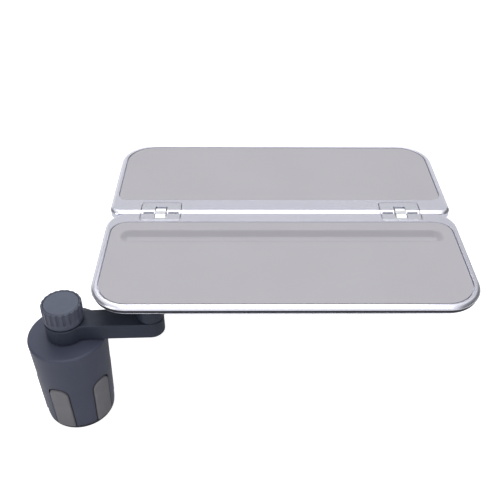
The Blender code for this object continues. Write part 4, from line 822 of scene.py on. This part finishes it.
def leaf_outline(front, steps=16):
    """Plan of a leaf: each place with its outward angle and how far that way faces the hinge, from 0 to 1."""
    inner, toward_hinge = (FRONT_INNER_CORNER, 1) if front else (REAR_INNER_CORNER, -1)
    places = []
    for k, (x, y) in enumerate(leaf_plan(front, 0, 0, 0, OUTER_CORNER, inner, steps)):
        quarter, step = divmod(k, steps + 1)
        out = math.radians(180 + 90 * quarter + 90 * step / steps)
        places.append((x, y, out, max(0.0, math.sin(out) * toward_hinge)))
    return places


def loft_rings(rings):
    """A solid through rings of equal count, made by a cap that is drawn out to each next ring."""
    shape = bmesh.new()
    corner = shape.verts.layers.int.new("corner")
    cap = shape.faces.new([shape.verts.new(place) for place in rings[0]])
    for number, vert in enumerate(cap.verts):
        vert[corner] = number
    inside = []
    for ring in rings[1:]:
        made = bmesh.ops.extrude_face_region(shape, geom=[cap])["geom"]
        inside.append(cap)
        cap = next(g for g in made if isinstance(g, bmesh.types.BMFace))
        for vert in cap.verts:
            vert.co = ring[vert[corner]]
    bmesh.ops.delete(shape, geom=inside[1:], context="FACES_ONLY")
    return shape


def leaf_shape(front, edge_steps=7):
    """Outer form of a leaf, with its own edge radius on the hinge side and a seam round the other three."""
    hinge_edge = FRONT_HINGE_EDGE if front else LEAF_EDGE
    tilts = [math.radians(90 - 90 * k / edge_steps) for k in range(edge_steps + 1)]
    levels = [(TRAY_LOW, 1, LEAF_UNDER_EDGE, tilt) for tilt in tilts[:-2]]
    levels += [(height, 0, inset, 0) for height, inset in (
        (SEAM_LOW - LIP_EASE - LIP_ROUND, LIP_INSET + LIP_ROUND), (SEAM_LOW - LIP_EASE, LIP_INSET),
        (SEAM_LOW, LIP_INSET + LIP_EASE), (SEAM_LOW + 0.1, SEAM_DEPTH), (SEAM_TOP - 0.1, SEAM_DEPTH),
        (SEAM_TOP, SEAM_EASE))]
    levels += [(TRAY_TOP, -1, LEAF_EDGE, tilt) for tilt in tilts[::-1][1:]]
    rings = []
    for level, way, size, tilt in levels:
        ring = []
        for x, y, out, toward in leaf_outline(front):
            away = max(0.0, 1 - 2 * toward)
            inset, height = size * away, level
            if way:
                radius = size + (hinge_edge - size) * toward ** 2
                inset = radius * (1 - math.cos(tilt)) + (LIP_INSET * away if way > 0 else 0)
                height = level + way * radius * (1 - math.sin(tilt))
            ring.append((x - inset * math.cos(out), y - inset * math.sin(out), height))
        rings.append(ring)
    return loft_rings(rings)


def shade_strip_shape(front):
    """A thin strip of painted shade in the seam, open to the hinge: a section swept along part of the
    outline.
    """
    outline = leaf_outline(front)
    inside = [toward <= SEAM_END for *_, toward in outline]
    start = next(k for k in range(len(outline)) if inside[k] and not inside[k - 1])
    run = [outline[(start + k) % len(outline)] for k in range(inside.count(True))]
    back, face = SEAM_DEPTH + STRIP_SINKS, SEAM_DEPTH - STRIP_STANDS
    low, high = SEAM_LOW + STRIP_ROOM, SEAM_TOP - STRIP_ROOM
    section = ((back, low), (face, low), (face, high), (back, high))
    return loft_rings([[(x - inset * math.cos(out), y - inset * math.sin(out), z) for inset, z in section]
                       for x, y, out, _ in run])


def insert_outline(front, grow=0.0, steps=12):
    """Plan of an insert or, grown, of its seat, which fits more closely on the hinge side."""
    side, edge, outer = SIDE_RIM - grow, RIM - grow, OUTER_CORNER - RIM + grow
    hinge = HINGE_SIDE_SHARE * grow
    if front:
        edge += FRONT_PANEL_GAP if grow < 0 else 0
        inner = FRONT_INNER_CORNER - RIM + grow
        return leaf_plan(True, side, edge, FRONT_HINGE_RIM - hinge, outer, inner, steps)
    return leaf_plan(False, side, edge, REAR_HINGE_RIM - hinge, outer, REAR_INNER_CORNER + grow, steps)


def cover_outline(front, grow=0.0, steps=12):
    """Plan of an underside cover or, grown, of its seat."""
    edge, outer = COVER_SEAT - grow, OUTER_CORNER - COVER_SEAT + grow
    if front:
        inner = FRONT_INNER_CORNER - COVER_SEAT + grow
        return leaf_plan(True, edge, edge, FRONT_HINGE_RIM + 2 - grow, outer, inner, steps)
    return leaf_plan(False, edge, edge, REAR_HINGE_RIM - grow, outer, REAR_INNER_CORNER + grow, steps)


def stadium_outline(length, width, steps=16):
    half = (length - width) / 2
    return (arc_points(TRAY_MIDDLE + half, TROUGH_Y, width / 2, -90, 90, steps)
            + arc_points(TRAY_MIDDLE - half, TROUGH_Y, width / 2, 90, 270, steps))


def seat_outline(place, front):
    """Plan of a hinge plate's seat: round corners away from the hinge, and open past the leaf's edge."""
    far, mouth = PLATE_CORNER + SEAT_GAP, SEAT_MOUTH_CORNER
    left, right = place - HINGE_HALF - SEAT_GAP, place + HINGE_HALF + SEAT_GAP
    if front:
        return round_box(left, right, FRONT_HINGE_Y - FRONT_PLATE_DEPTH - SEAT_END_GAP,
                         FRONT_HINGE_Y + HINGE_PAST, (far, far, mouth, mouth), 8)
    return round_box(left, right, REAR_HINGE_Y - HINGE_PAST, REAR_HINGE_Y + REAR_PLATE_DEPTH + SEAT_END_GAP,
                     (mouth, mouth, far, far), 8)


def flared_shape(outlines):
    """A solid through outlines at heights, so that its edge can be rounded."""
    return loft_rings([[(x, y, z) for x, y in outline] for z, outline in outlines])


def straight_pocket(low, high, outline):
    return flared_shape([(low, outline), (high, outline)])


silver_lacquer = start_material("satin_silver_lacquer", "DFE0EC", 0.23, 0.85)
lay_grain(silver_lacquer, 0.7, 0.002, "DEDFEB", "E0E1ED", 0.21, 0.25, drift=50.0)
for word, front in LEAVES:
    seat = [(height, insert_outline(front, INSERT_GAP)) for height in (FLOOR_TOP, TRAY_TOP - SEAT_LIP)]
    for tilt in SEAT_LIP_ANGLES:
        height = TRAY_TOP - SEAT_LIP + SEAT_LIP * math.sin(tilt)
        seat.append((height, insert_outline(front, INSERT_GAP + SEAT_LIP * (1 - math.cos(tilt)))))
    seat.append((TRAY_TOP + 1, insert_outline(front, INSERT_GAP + 2 * SEAT_LIP)))
    cuts = [straight_pocket(TRAY_LOW - PAST, FLOOR_LOW, cover_outline(front, COVER_GAP)), flared_shape(seat)]
    for place in HINGE_PLACES.values():
        cuts.append(straight_pocket(PLATE_LOW - SEAT_END_GAP, TRAY_TOP + PAST, seat_outline(place, front)))
    if front:
        room = stadium_outline(TROUGH_LENGTH + TROUGH_ROOM, TROUGH_WIDTH + TROUGH_ROOM)
        cuts.append(straight_pocket(TROUGH_ROOM_LOW, TRAY_TOP, room))
    leaf = form(f"{word}_leaf_frame", leaf_shape(front), silver_lacquer, cuts=cuts)
    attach(leaf, f"{word}_leaf")
    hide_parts(f"{word}_frame")
    # The strip is dark ABS that paints the shade of the seam.
    strip = form(f"{word}_seam_shade_strip", shade_strip_shape(front), dark_abs)
    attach(strip, f"{word}_leaf")

# Inserts
# The light grey panels that things lie on, moulded in polycarbonate blend with a fine matt grain and laid in
# the frames. The front one has a long soft-sided trough along its rear edge for a pen, steeper on the hinge
# side. Each is a sheet given its thickness.
INSERT_TOP = 149.2
INSERT_THICKNESS = 2.0
INSERT_FIT = -0.15
INSERT_EASE = 0.3
TROUGH_DEPTH = 6.6
TROUGH_SLOPE = 8.6
TROUGH_SKEW = 0.4
TROUGH_RINGS = 14

grained_panel = start_material("grained_grey_panel", "BCBAC0", 0.72, sheen=0.3)
lay_grain(grained_panel, 1.1, 0.02, "BBB9BF", "BDBBC1", 0.66, 0.8, drift=80.0)
for word, front in LEAVES:
    sheet_shape = bmesh.new()
    loops = [insert_outline(front, INSERT_FIT, steps=16)]
    if front:
        loops.append(stadium_outline(TROUGH_LENGTH, TROUGH_WIDTH)[::-1])
    edges = []
    for loop in loops:
        corners = [sheet_shape.verts.new((x, y, INSERT_TOP)) for x, y in loop]
        edges.append([sheet_shape.edges.new(pair) for pair in zip(corners, corners[1:] + corners[:1])])
    bmesh.ops.triangle_fill(sheet_shape, use_beauty=True, use_dissolve=False, normal=(0, 0, 1),
                            edges=[edge for ring in edges for edge in ring])
    if front:
        border = edges[1]
        half = (TROUGH_LENGTH - TROUGH_WIDTH) / 2
        for k in range(1, TROUGH_RINGS + 1):
            made = bmesh.ops.extrude_edge_only(sheet_shape, edges=border)["geom"]
            border = [g for g in made if isinstance(g, bmesh.types.BMEdge)]
            for vert in [g for g in made if isinstance(g, bmesh.types.BMVert)]:
                centre_x = TRAY_MIDDLE + max(-half, min(half, vert.co.x - TRAY_MIDDLE))
                out = (vert.co.xy - Vector((centre_x, TROUGH_Y))).normalized()
                vert.co.xy -= out * TROUGH_SLOPE / TROUGH_RINGS * (1 - TROUGH_SKEW * out.y)
                vert.co.z = INSERT_TOP - TROUGH_DEPTH * (1 - math.cos(math.pi * k / TROUGH_RINGS)) / 2
        bmesh.ops.edgeloop_fill(sheet_shape, edges=border)
    bmesh.ops.recalc_face_normals(sheet_shape, faces=sheet_shape.faces)
    if sum(f.normal.z for f in sheet_shape.faces) < 0:
        bmesh.ops.reverse_faces(sheet_shape, faces=sheet_shape.faces)
    panel = to_object(f"{word}_insert_panel", sheet_shape, closed=False)
    wall = panel.modifiers.new("Solidify", "SOLIDIFY")
    wall.thickness = INSERT_THICKNESS * MM
    wall.offset = -1
    ease = panel.modifiers.new("Bevel", "BEVEL")
    ease.width = INSERT_EASE * MM
    ease.segments = 2
    ease.angle_limit = math.radians(60)
    settle(panel, grained_panel)
    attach(panel, f"{word}_leaf")
    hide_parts(f"{word}_insert")

# Underside covers
# Flat mid-grey ABS covers, grained and dull, that close each leaf from below, with shallow sunk panels that
# stiffen them. The front one has two, which make room for the swivel flange on their left.
COVER_TOP = 140.0
PANEL_MARGIN = 30.0
PANEL_SIDE = 40.0
PANEL_RIB = 6.0
PANEL_CORNER = 6.0
PANEL_STEPS = ((-0.5, 0.5), (0.0, 0.1), (0.6, -0.3))

cover_abs = start_material("cover_abs_moulded", "9A9BA3", 0.58)
lay_grain(cover_abs, 1.2, 0.03, "96979F", "9E9FA7", 0.54, 0.66, drift=60.0)
for word, front in LEAVES:
    y0, y1 = (FRONT_Y, FRONT_HINGE_Y) if front else (REAR_HINGE_Y, REAR_Y)
    pitch = (y1 - y0 - 2 * PANEL_MARGIN) / 3
    left = SWIVEL_X + FLANGE_RADIUS + PANEL_RIB if front else TRAY_LEFT + PANEL_SIDE
    cuts = []
    for k in range(1 if front else 0, 3):
        low = y0 + PANEL_MARGIN + k * pitch
        cuts.append(flared_shape([
            (TRAY_LOW + rise, round_box(left - grow, TRAY_RIGHT - PANEL_SIDE + grow, low - grow,
                                        low + pitch - PANEL_RIB + grow, (PANEL_CORNER + grow,) * 4, 6))
            for rise, grow in PANEL_STEPS]))
    if front:
        cuts += [rod(SCREW_HOLE, TRAY_LOW - PAST, COVER_TOP + PAST, 20, *spot) for spot in flange_spots]
    levels = ((TRAY_LOW, -COVER_GAP), (TRAY_LOW + COVER_GAP, 0), (COVER_TOP, 0))
    cover = form(f"{word}_cover_panel", flared_shape([(z, cover_outline(front, grow)) for z, grow in levels]),
                 cover_abs, cuts=cuts)
    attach(cover, f"{word}_leaf")
    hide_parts(f"{word}_cover")

# Hinge plates
# Four small lacquered plates set flush in the frames' hinge edges, two on each leaf. They carry the pins and
# have a notch for the link, and the rear ones a slot on either side of it. Each is drawn with the edge that
# its leaf has there, so its top and edge run on from the frame.
LINK_HALF = 5.3
PIN_SPACING = 9.5
LINK_RADIUS = 4.5
LINK_GAP = 0.8
FRONT_NOTCH_ROOM = 0.6
REAR_NOTCH_ROOM = 1.3
SLOT_DEPTH = 1.5
SLOT_SIDE = 2.0
PLATE_TOP_EASE = 0.3
PIN_Z = 146.5
PIN_BORE = 1.8
PIN_HALF = 15.3
FRONT_PIN_Y = HINGE_Y - PIN_SPACING / 2
REAR_PIN_Y = HINGE_Y + PIN_SPACING / 2


def hinge_plate_shape(place, front):
    """The leaf's edge profile drawn from side to side, with its two far corners rounded in plan."""
    radius = FRONT_HINGE_EDGE if front else LEAF_EDGE
    edge, way = (FRONT_HINGE_Y, 1) if front else (REAR_HINGE_Y, -1)
    far = edge - way * (FRONT_PLATE_DEPTH if front else REAR_PLATE_DEPTH)
    tilts = [math.radians(degrees) for degrees in range(90, -1, -9)]
    profile = [(edge - way * radius * (1 - math.cos(tilt)), TRAY_TOP - radius * (1 - math.sin(tilt)))
               for tilt in tilts]
    profile += [(edge, PLATE_LOW), (far, PLATE_LOW), (far, TRAY_TOP)]
    shape = slab([(place - HINGE_HALF, y, z) for y, z in profile], (2 * HINGE_HALF, 0, 0))
    upright = [e for e in shape.edges if all(abs(v.co.y - far) < NEAR for v in e.verts)
               and abs(e.verts[0].co.z - e.verts[1].co.z) > NEAR]
    ease_edges(shape, upright, PLATE_CORNER, 8)
    top = [e for e in shape.edges if all(abs(v.co.z - TRAY_TOP) < NEAR for v in e.verts)
           and not all(abs(v.co.y - (edge - way * radius)) < NEAR for v in e.verts)]
    ease_edges(shape, top, PLATE_TOP_EASE, 2)
    return shape


def pin_bore(place, y):
    """A cutter for a pin, lying across the tray."""
    bore = rod(PIN_BORE, -PIN_HALF, PIN_HALF, 24)
    across = Matrix.Translation((place, y, PIN_Z)) @ Matrix.Rotation(math.pi / 2, 4, "Y")
    bmesh.ops.transform(bore, matrix=across, verts=bore.verts)
    return bore


hinge_lacquer = start_material("satin_hinge_lacquer", "DCDDE7", 0.23, 0.85)
lay_grain(hinge_lacquer, 0.7, 0.002, "DBDCE6", "DDDEE8", 0.21, 0.25, drift=15.0)
through = (PLATE_LOW - 1, TRAY_TOP + 1)
for word, front in LEAVES:
    pin_y = FRONT_PIN_Y if front else REAR_PIN_Y
    notch = ((FRONT_PIN_Y - LINK_RADIUS - FRONT_NOTCH_ROOM, HINGE_Y + HINGE_PAST) if front
             else (HINGE_Y - HINGE_PAST, REAR_PIN_Y + LINK_RADIUS + REAR_NOTCH_ROOM))
    for side_word, place in HINGE_PLACES.items():
        cuts = [block((place - LINK_HALF - LINK_GAP, place + LINK_HALF + LINK_GAP), notch, through),
                pin_bore(place, pin_y)]
        if not front:
            slot = (REAR_HINGE_Y - PAST, REAR_HINGE_Y + SLOT_DEPTH)
            inner, outer = LINK_HALF + SLOT_SIDE, HINGE_HALF - SLOT_SIDE
            cuts += [block((place - outer, place - inner), slot, through),
                     block((place + inner, place + outer), slot, through)]
        plate = form(f"hinge_plate_{word}_{side_word}_lacquered", hinge_plate_shape(place, front),
                     hinge_lacquer, cuts=cuts)
        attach(plate, f"{word}_leaf")
        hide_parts(f"hinge_plate_{word}_{side_word}")
        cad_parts[f"hinge_pin_{word}_{side_word}"].material_slots[0].material = ground_steel

# Hinge links
# Two links of satin aluminium, pale with a soft gleam, join the leaves, each with a pin through either end,
# so the rear leaf can fold flat on the front one. A link is the side view of two round ends with a shallow
# waist, drawn out sideways and eased at its edges.
LINK_WAIST = 3.9
LINK_EASE = 0.35

satin_aluminium = start_material("satin_aluminium", "E0E1E5", 0.3, 0.9)
lay_grain(satin_aluminium, 0.4, 0.003, "DEDFE3", "E3E4E8", 0.26, 0.36, drift=4.0)
side_view = (arc_points(REAR_PIN_Y, PIN_Z, LINK_RADIUS, -100, 100, 20) + [(HINGE_Y, PIN_Z + LINK_WAIST)]
             + arc_points(FRONT_PIN_Y, PIN_Z, LINK_RADIUS, 80, 280, 20) + [(HINGE_Y, PIN_Z - LINK_WAIST)])
for side_word, place in HINGE_PLACES.items():
    link_shape = slab([(place - LINK_HALF, y, z) for y, z in side_view], (2 * LINK_HALF, 0, 0))
    rims = [e for e in link_shape.edges if abs(e.verts[0].co.x - e.verts[1].co.x) < NEAR]
    ease_edges(link_shape, rims, LINK_EASE, 2)
    link = form(f"hinge_link_{side_word}_satin", link_shape, satin_aluminium,
                cuts=[pin_bore(place, y) for y in (FRONT_PIN_Y, REAR_PIN_Y)])
    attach(link, f"link_{side_word}")
    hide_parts(f"hinge_link_{side_word}")

# Studio
# A plain white floor and air under soft lamps. To the camera both are white. In reflections there are a grey
# card behind the tray, which the flat rims mirror, and a dark flag on either side. They light the object
# little: its shades come from the lamps, three of which stand in a row and meet in the rim's highlight.
FLOOR_SIZE = 1.3
FLOOR_DROP = 0.6
FLOOR_MIRRORED = 0.15
FLOOR_SEEN = 0.8
CARD_SHADE = 0.42
CARD_HEIGHT = math.radians(40)
CARD_INSIDE = math.radians(3)
CARD_OUTSIDE = math.radians(14)
FLAG_SHADE = 0.15
LEFT_FLAG = (-0.7, -0.85)
RIGHT_FLAG = (0.5, 0.76)
AIR_LIGHT = 0.26


def shown_light(owner, lit, mirrored, seen):
    """A strength for each kind of ray: those that light, those of reflections and glass, and the camera's."""
    path = add_node(owner, "ShaderNodeLightPath").outputs
    shiny = add_node(owner, "ShaderNodeMath", {
        0: path["Is Glossy Ray"], 1: path["Is Transmission Ray"]}, operation="MAXIMUM")
    others = add_node(owner, "ShaderNodeMix", {0: shiny.outputs[0], 2: lit, 3: mirrored})
    strength = add_node(owner, "ShaderNodeMix", {0: path["Is Camera Ray"], 2: others.outputs[0], 3: seen})
    return strength.outputs[0]


# The floor is clear from below, so that the object's underside can be looked at too.
floor_shape = bmesh.new()
bmesh.ops.create_grid(floor_shape, x_segments=1, y_segments=1, size=FLOOR_SIZE / MM)
bmesh.ops.translate(floor_shape, vec=(0, 0, -FLOOR_DROP), verts=floor_shape.verts)
white_floor = start_material("white_studio_floor", "E8E8EA", 0.9)
nodes = white_floor.node_tree.nodes
shine = add_node(white_floor, "ShaderNodeEmission", {
    "Color": (1, 1, 1, 1), "Strength": shown_light(white_floor, 0.0, FLOOR_MIRRORED, FLOOR_SEEN)})
both = add_node(white_floor, "ShaderNodeAddShader", {
    0: nodes["Principled BSDF"].outputs[0], 1: shine.outputs[0]})
one_sided = add_node(white_floor, "ShaderNodeMixShader", {
    0: add_node(white_floor, "ShaderNodeNewGeometry").outputs["Backfacing"], 1: both.outputs[0],
    2: add_node(white_floor, "ShaderNodeBsdfTransparent").outputs[0]})
white_floor.node_tree.links.new(one_sided.outputs[0], nodes["Material Output"].inputs["Surface"])
floor = to_object("studio_floor", floor_shape)
settle(floor, white_floor)

# The card is a band of the air at a height over the far side, and each flag is the outer part of one side.
world = bpy.data.worlds.new("studio_air")
bpy.context.scene.world = world
world.use_nodes = True
background = world.node_tree.nodes["Background"]
background.inputs["Color"].default_value = (1, 1, 1, 1)
way = add_node(world, "ShaderNodeSeparateXYZ", {
    0: add_node(world, "ShaderNodeTexCoord").outputs["Generated"]})
height = add_node(world, "ShaderNodeMath", {0: way.outputs["Z"], 1: way.outputs["Y"]}, operation="ARCTAN2")
off = add_node(world, "ShaderNodeMath", {0: height.outputs[0], 1: CARD_HEIGHT}, operation="SUBTRACT")
away = add_node(world, "ShaderNodeMath", {0: off.outputs[0]}, operation="ABSOLUTE")
cards = add_node(world, "ShaderNodeMapRange", {
    "Value": away.outputs[0], "From Min": CARD_INSIDE, "From Max": CARD_OUTSIDE, "To Min": CARD_SHADE,
    "To Max": 1.0})
for edge, dark in LEFT_FLAG, RIGHT_FLAG:
    flag = add_node(world, "ShaderNodeMapRange", {
        "Value": way.outputs["X"], "From Min": edge, "From Max": dark, "To Min": 1.0, "To Max": FLAG_SHADE})
    cards = add_node(world, "ShaderNodeMath", {0: cards.outputs[0], 1: flag.outputs[0]}, operation="MULTIPLY")
world.node_tree.links.new(shown_light(world, AIR_LIGHT, cards.outputs[0], 1.0), background.inputs["Strength"])

# Each lamp has its place and what it is aimed at, its width and depth, in metres, and its watts.
for name, place, target, width, depth, power in (
        ("rear_lamp", (0.15, 0.72, 1.4), (0.18, 0.12, 0.1), 1.1, 0.8, 8.0),
        ("top_lamp", (0.22, -0.15, 1.5), (0.22, -0.02, 0.1), 1.2, 0.95, 5.3),
        ("front_lamp", (0.22, -1.05, 1.1), (0.2, -0.02, 0.1), 1.3, 1.1, 5.6),
        ("left_lamp", (-1.0, -0.9, 0.35), (0.05, 0.0, 0.08), 0.6, 0.6, 2.2)):
    lamp = bpy.data.lights.new(name, "AREA")
    lamp.shape = "RECTANGLE"
    lamp.size = width
    lamp.size_y = depth
    lamp.energy = power
    holder = bpy.data.objects.new(name, lamp)
    holder.location = place
    holder.rotation_euler = (Vector(target) - Vector(place)).to_track_quat("-Z", "Y").to_euler()
    bpy.context.scene.collection.objects.link(holder)

# Camera
# The view of the photograph, from above the front leaf, solved on the outlines of the base and the leaves.
# Its turns are in radians, and its focal length is in pixels of a picture 500 wide.
PICTURE_WIDTH = 500
FOCAL_PIXELS = 699.956708
SENSOR_WIDTH = 36.0
CAMERA_PLACE = Vector((163.729325, -468.254992, 567.777727))
CAMERA_TURN = -0.014688
CAMERA_DIP = 0.668189
CAMERA_ROLL = 0.008945

camera_data = bpy.data.cameras.new("camera")
camera_data.sensor_width = SENSOR_WIDTH
camera_data.lens = FOCAL_PIXELS / PICTURE_WIDTH * SENSOR_WIDTH
camera_data.clip_start = 0.01
camera = bpy.data.objects.new("camera", camera_data)
camera.location = CAMERA_PLACE * MM
camera.rotation_euler = (Matrix.Rotation(CAMERA_TURN, 3, "Z")
                         @ Matrix.Rotation(math.pi / 2 - CAMERA_DIP, 3, "X")
                         @ Matrix.Rotation(CAMERA_ROLL, 3, "Z")).to_euler()
bpy.context.scene.collection.objects.link(camera)
bpy.context.scene.camera = camera
bpy.context.scene.view_settings.view_transform = "Standard"
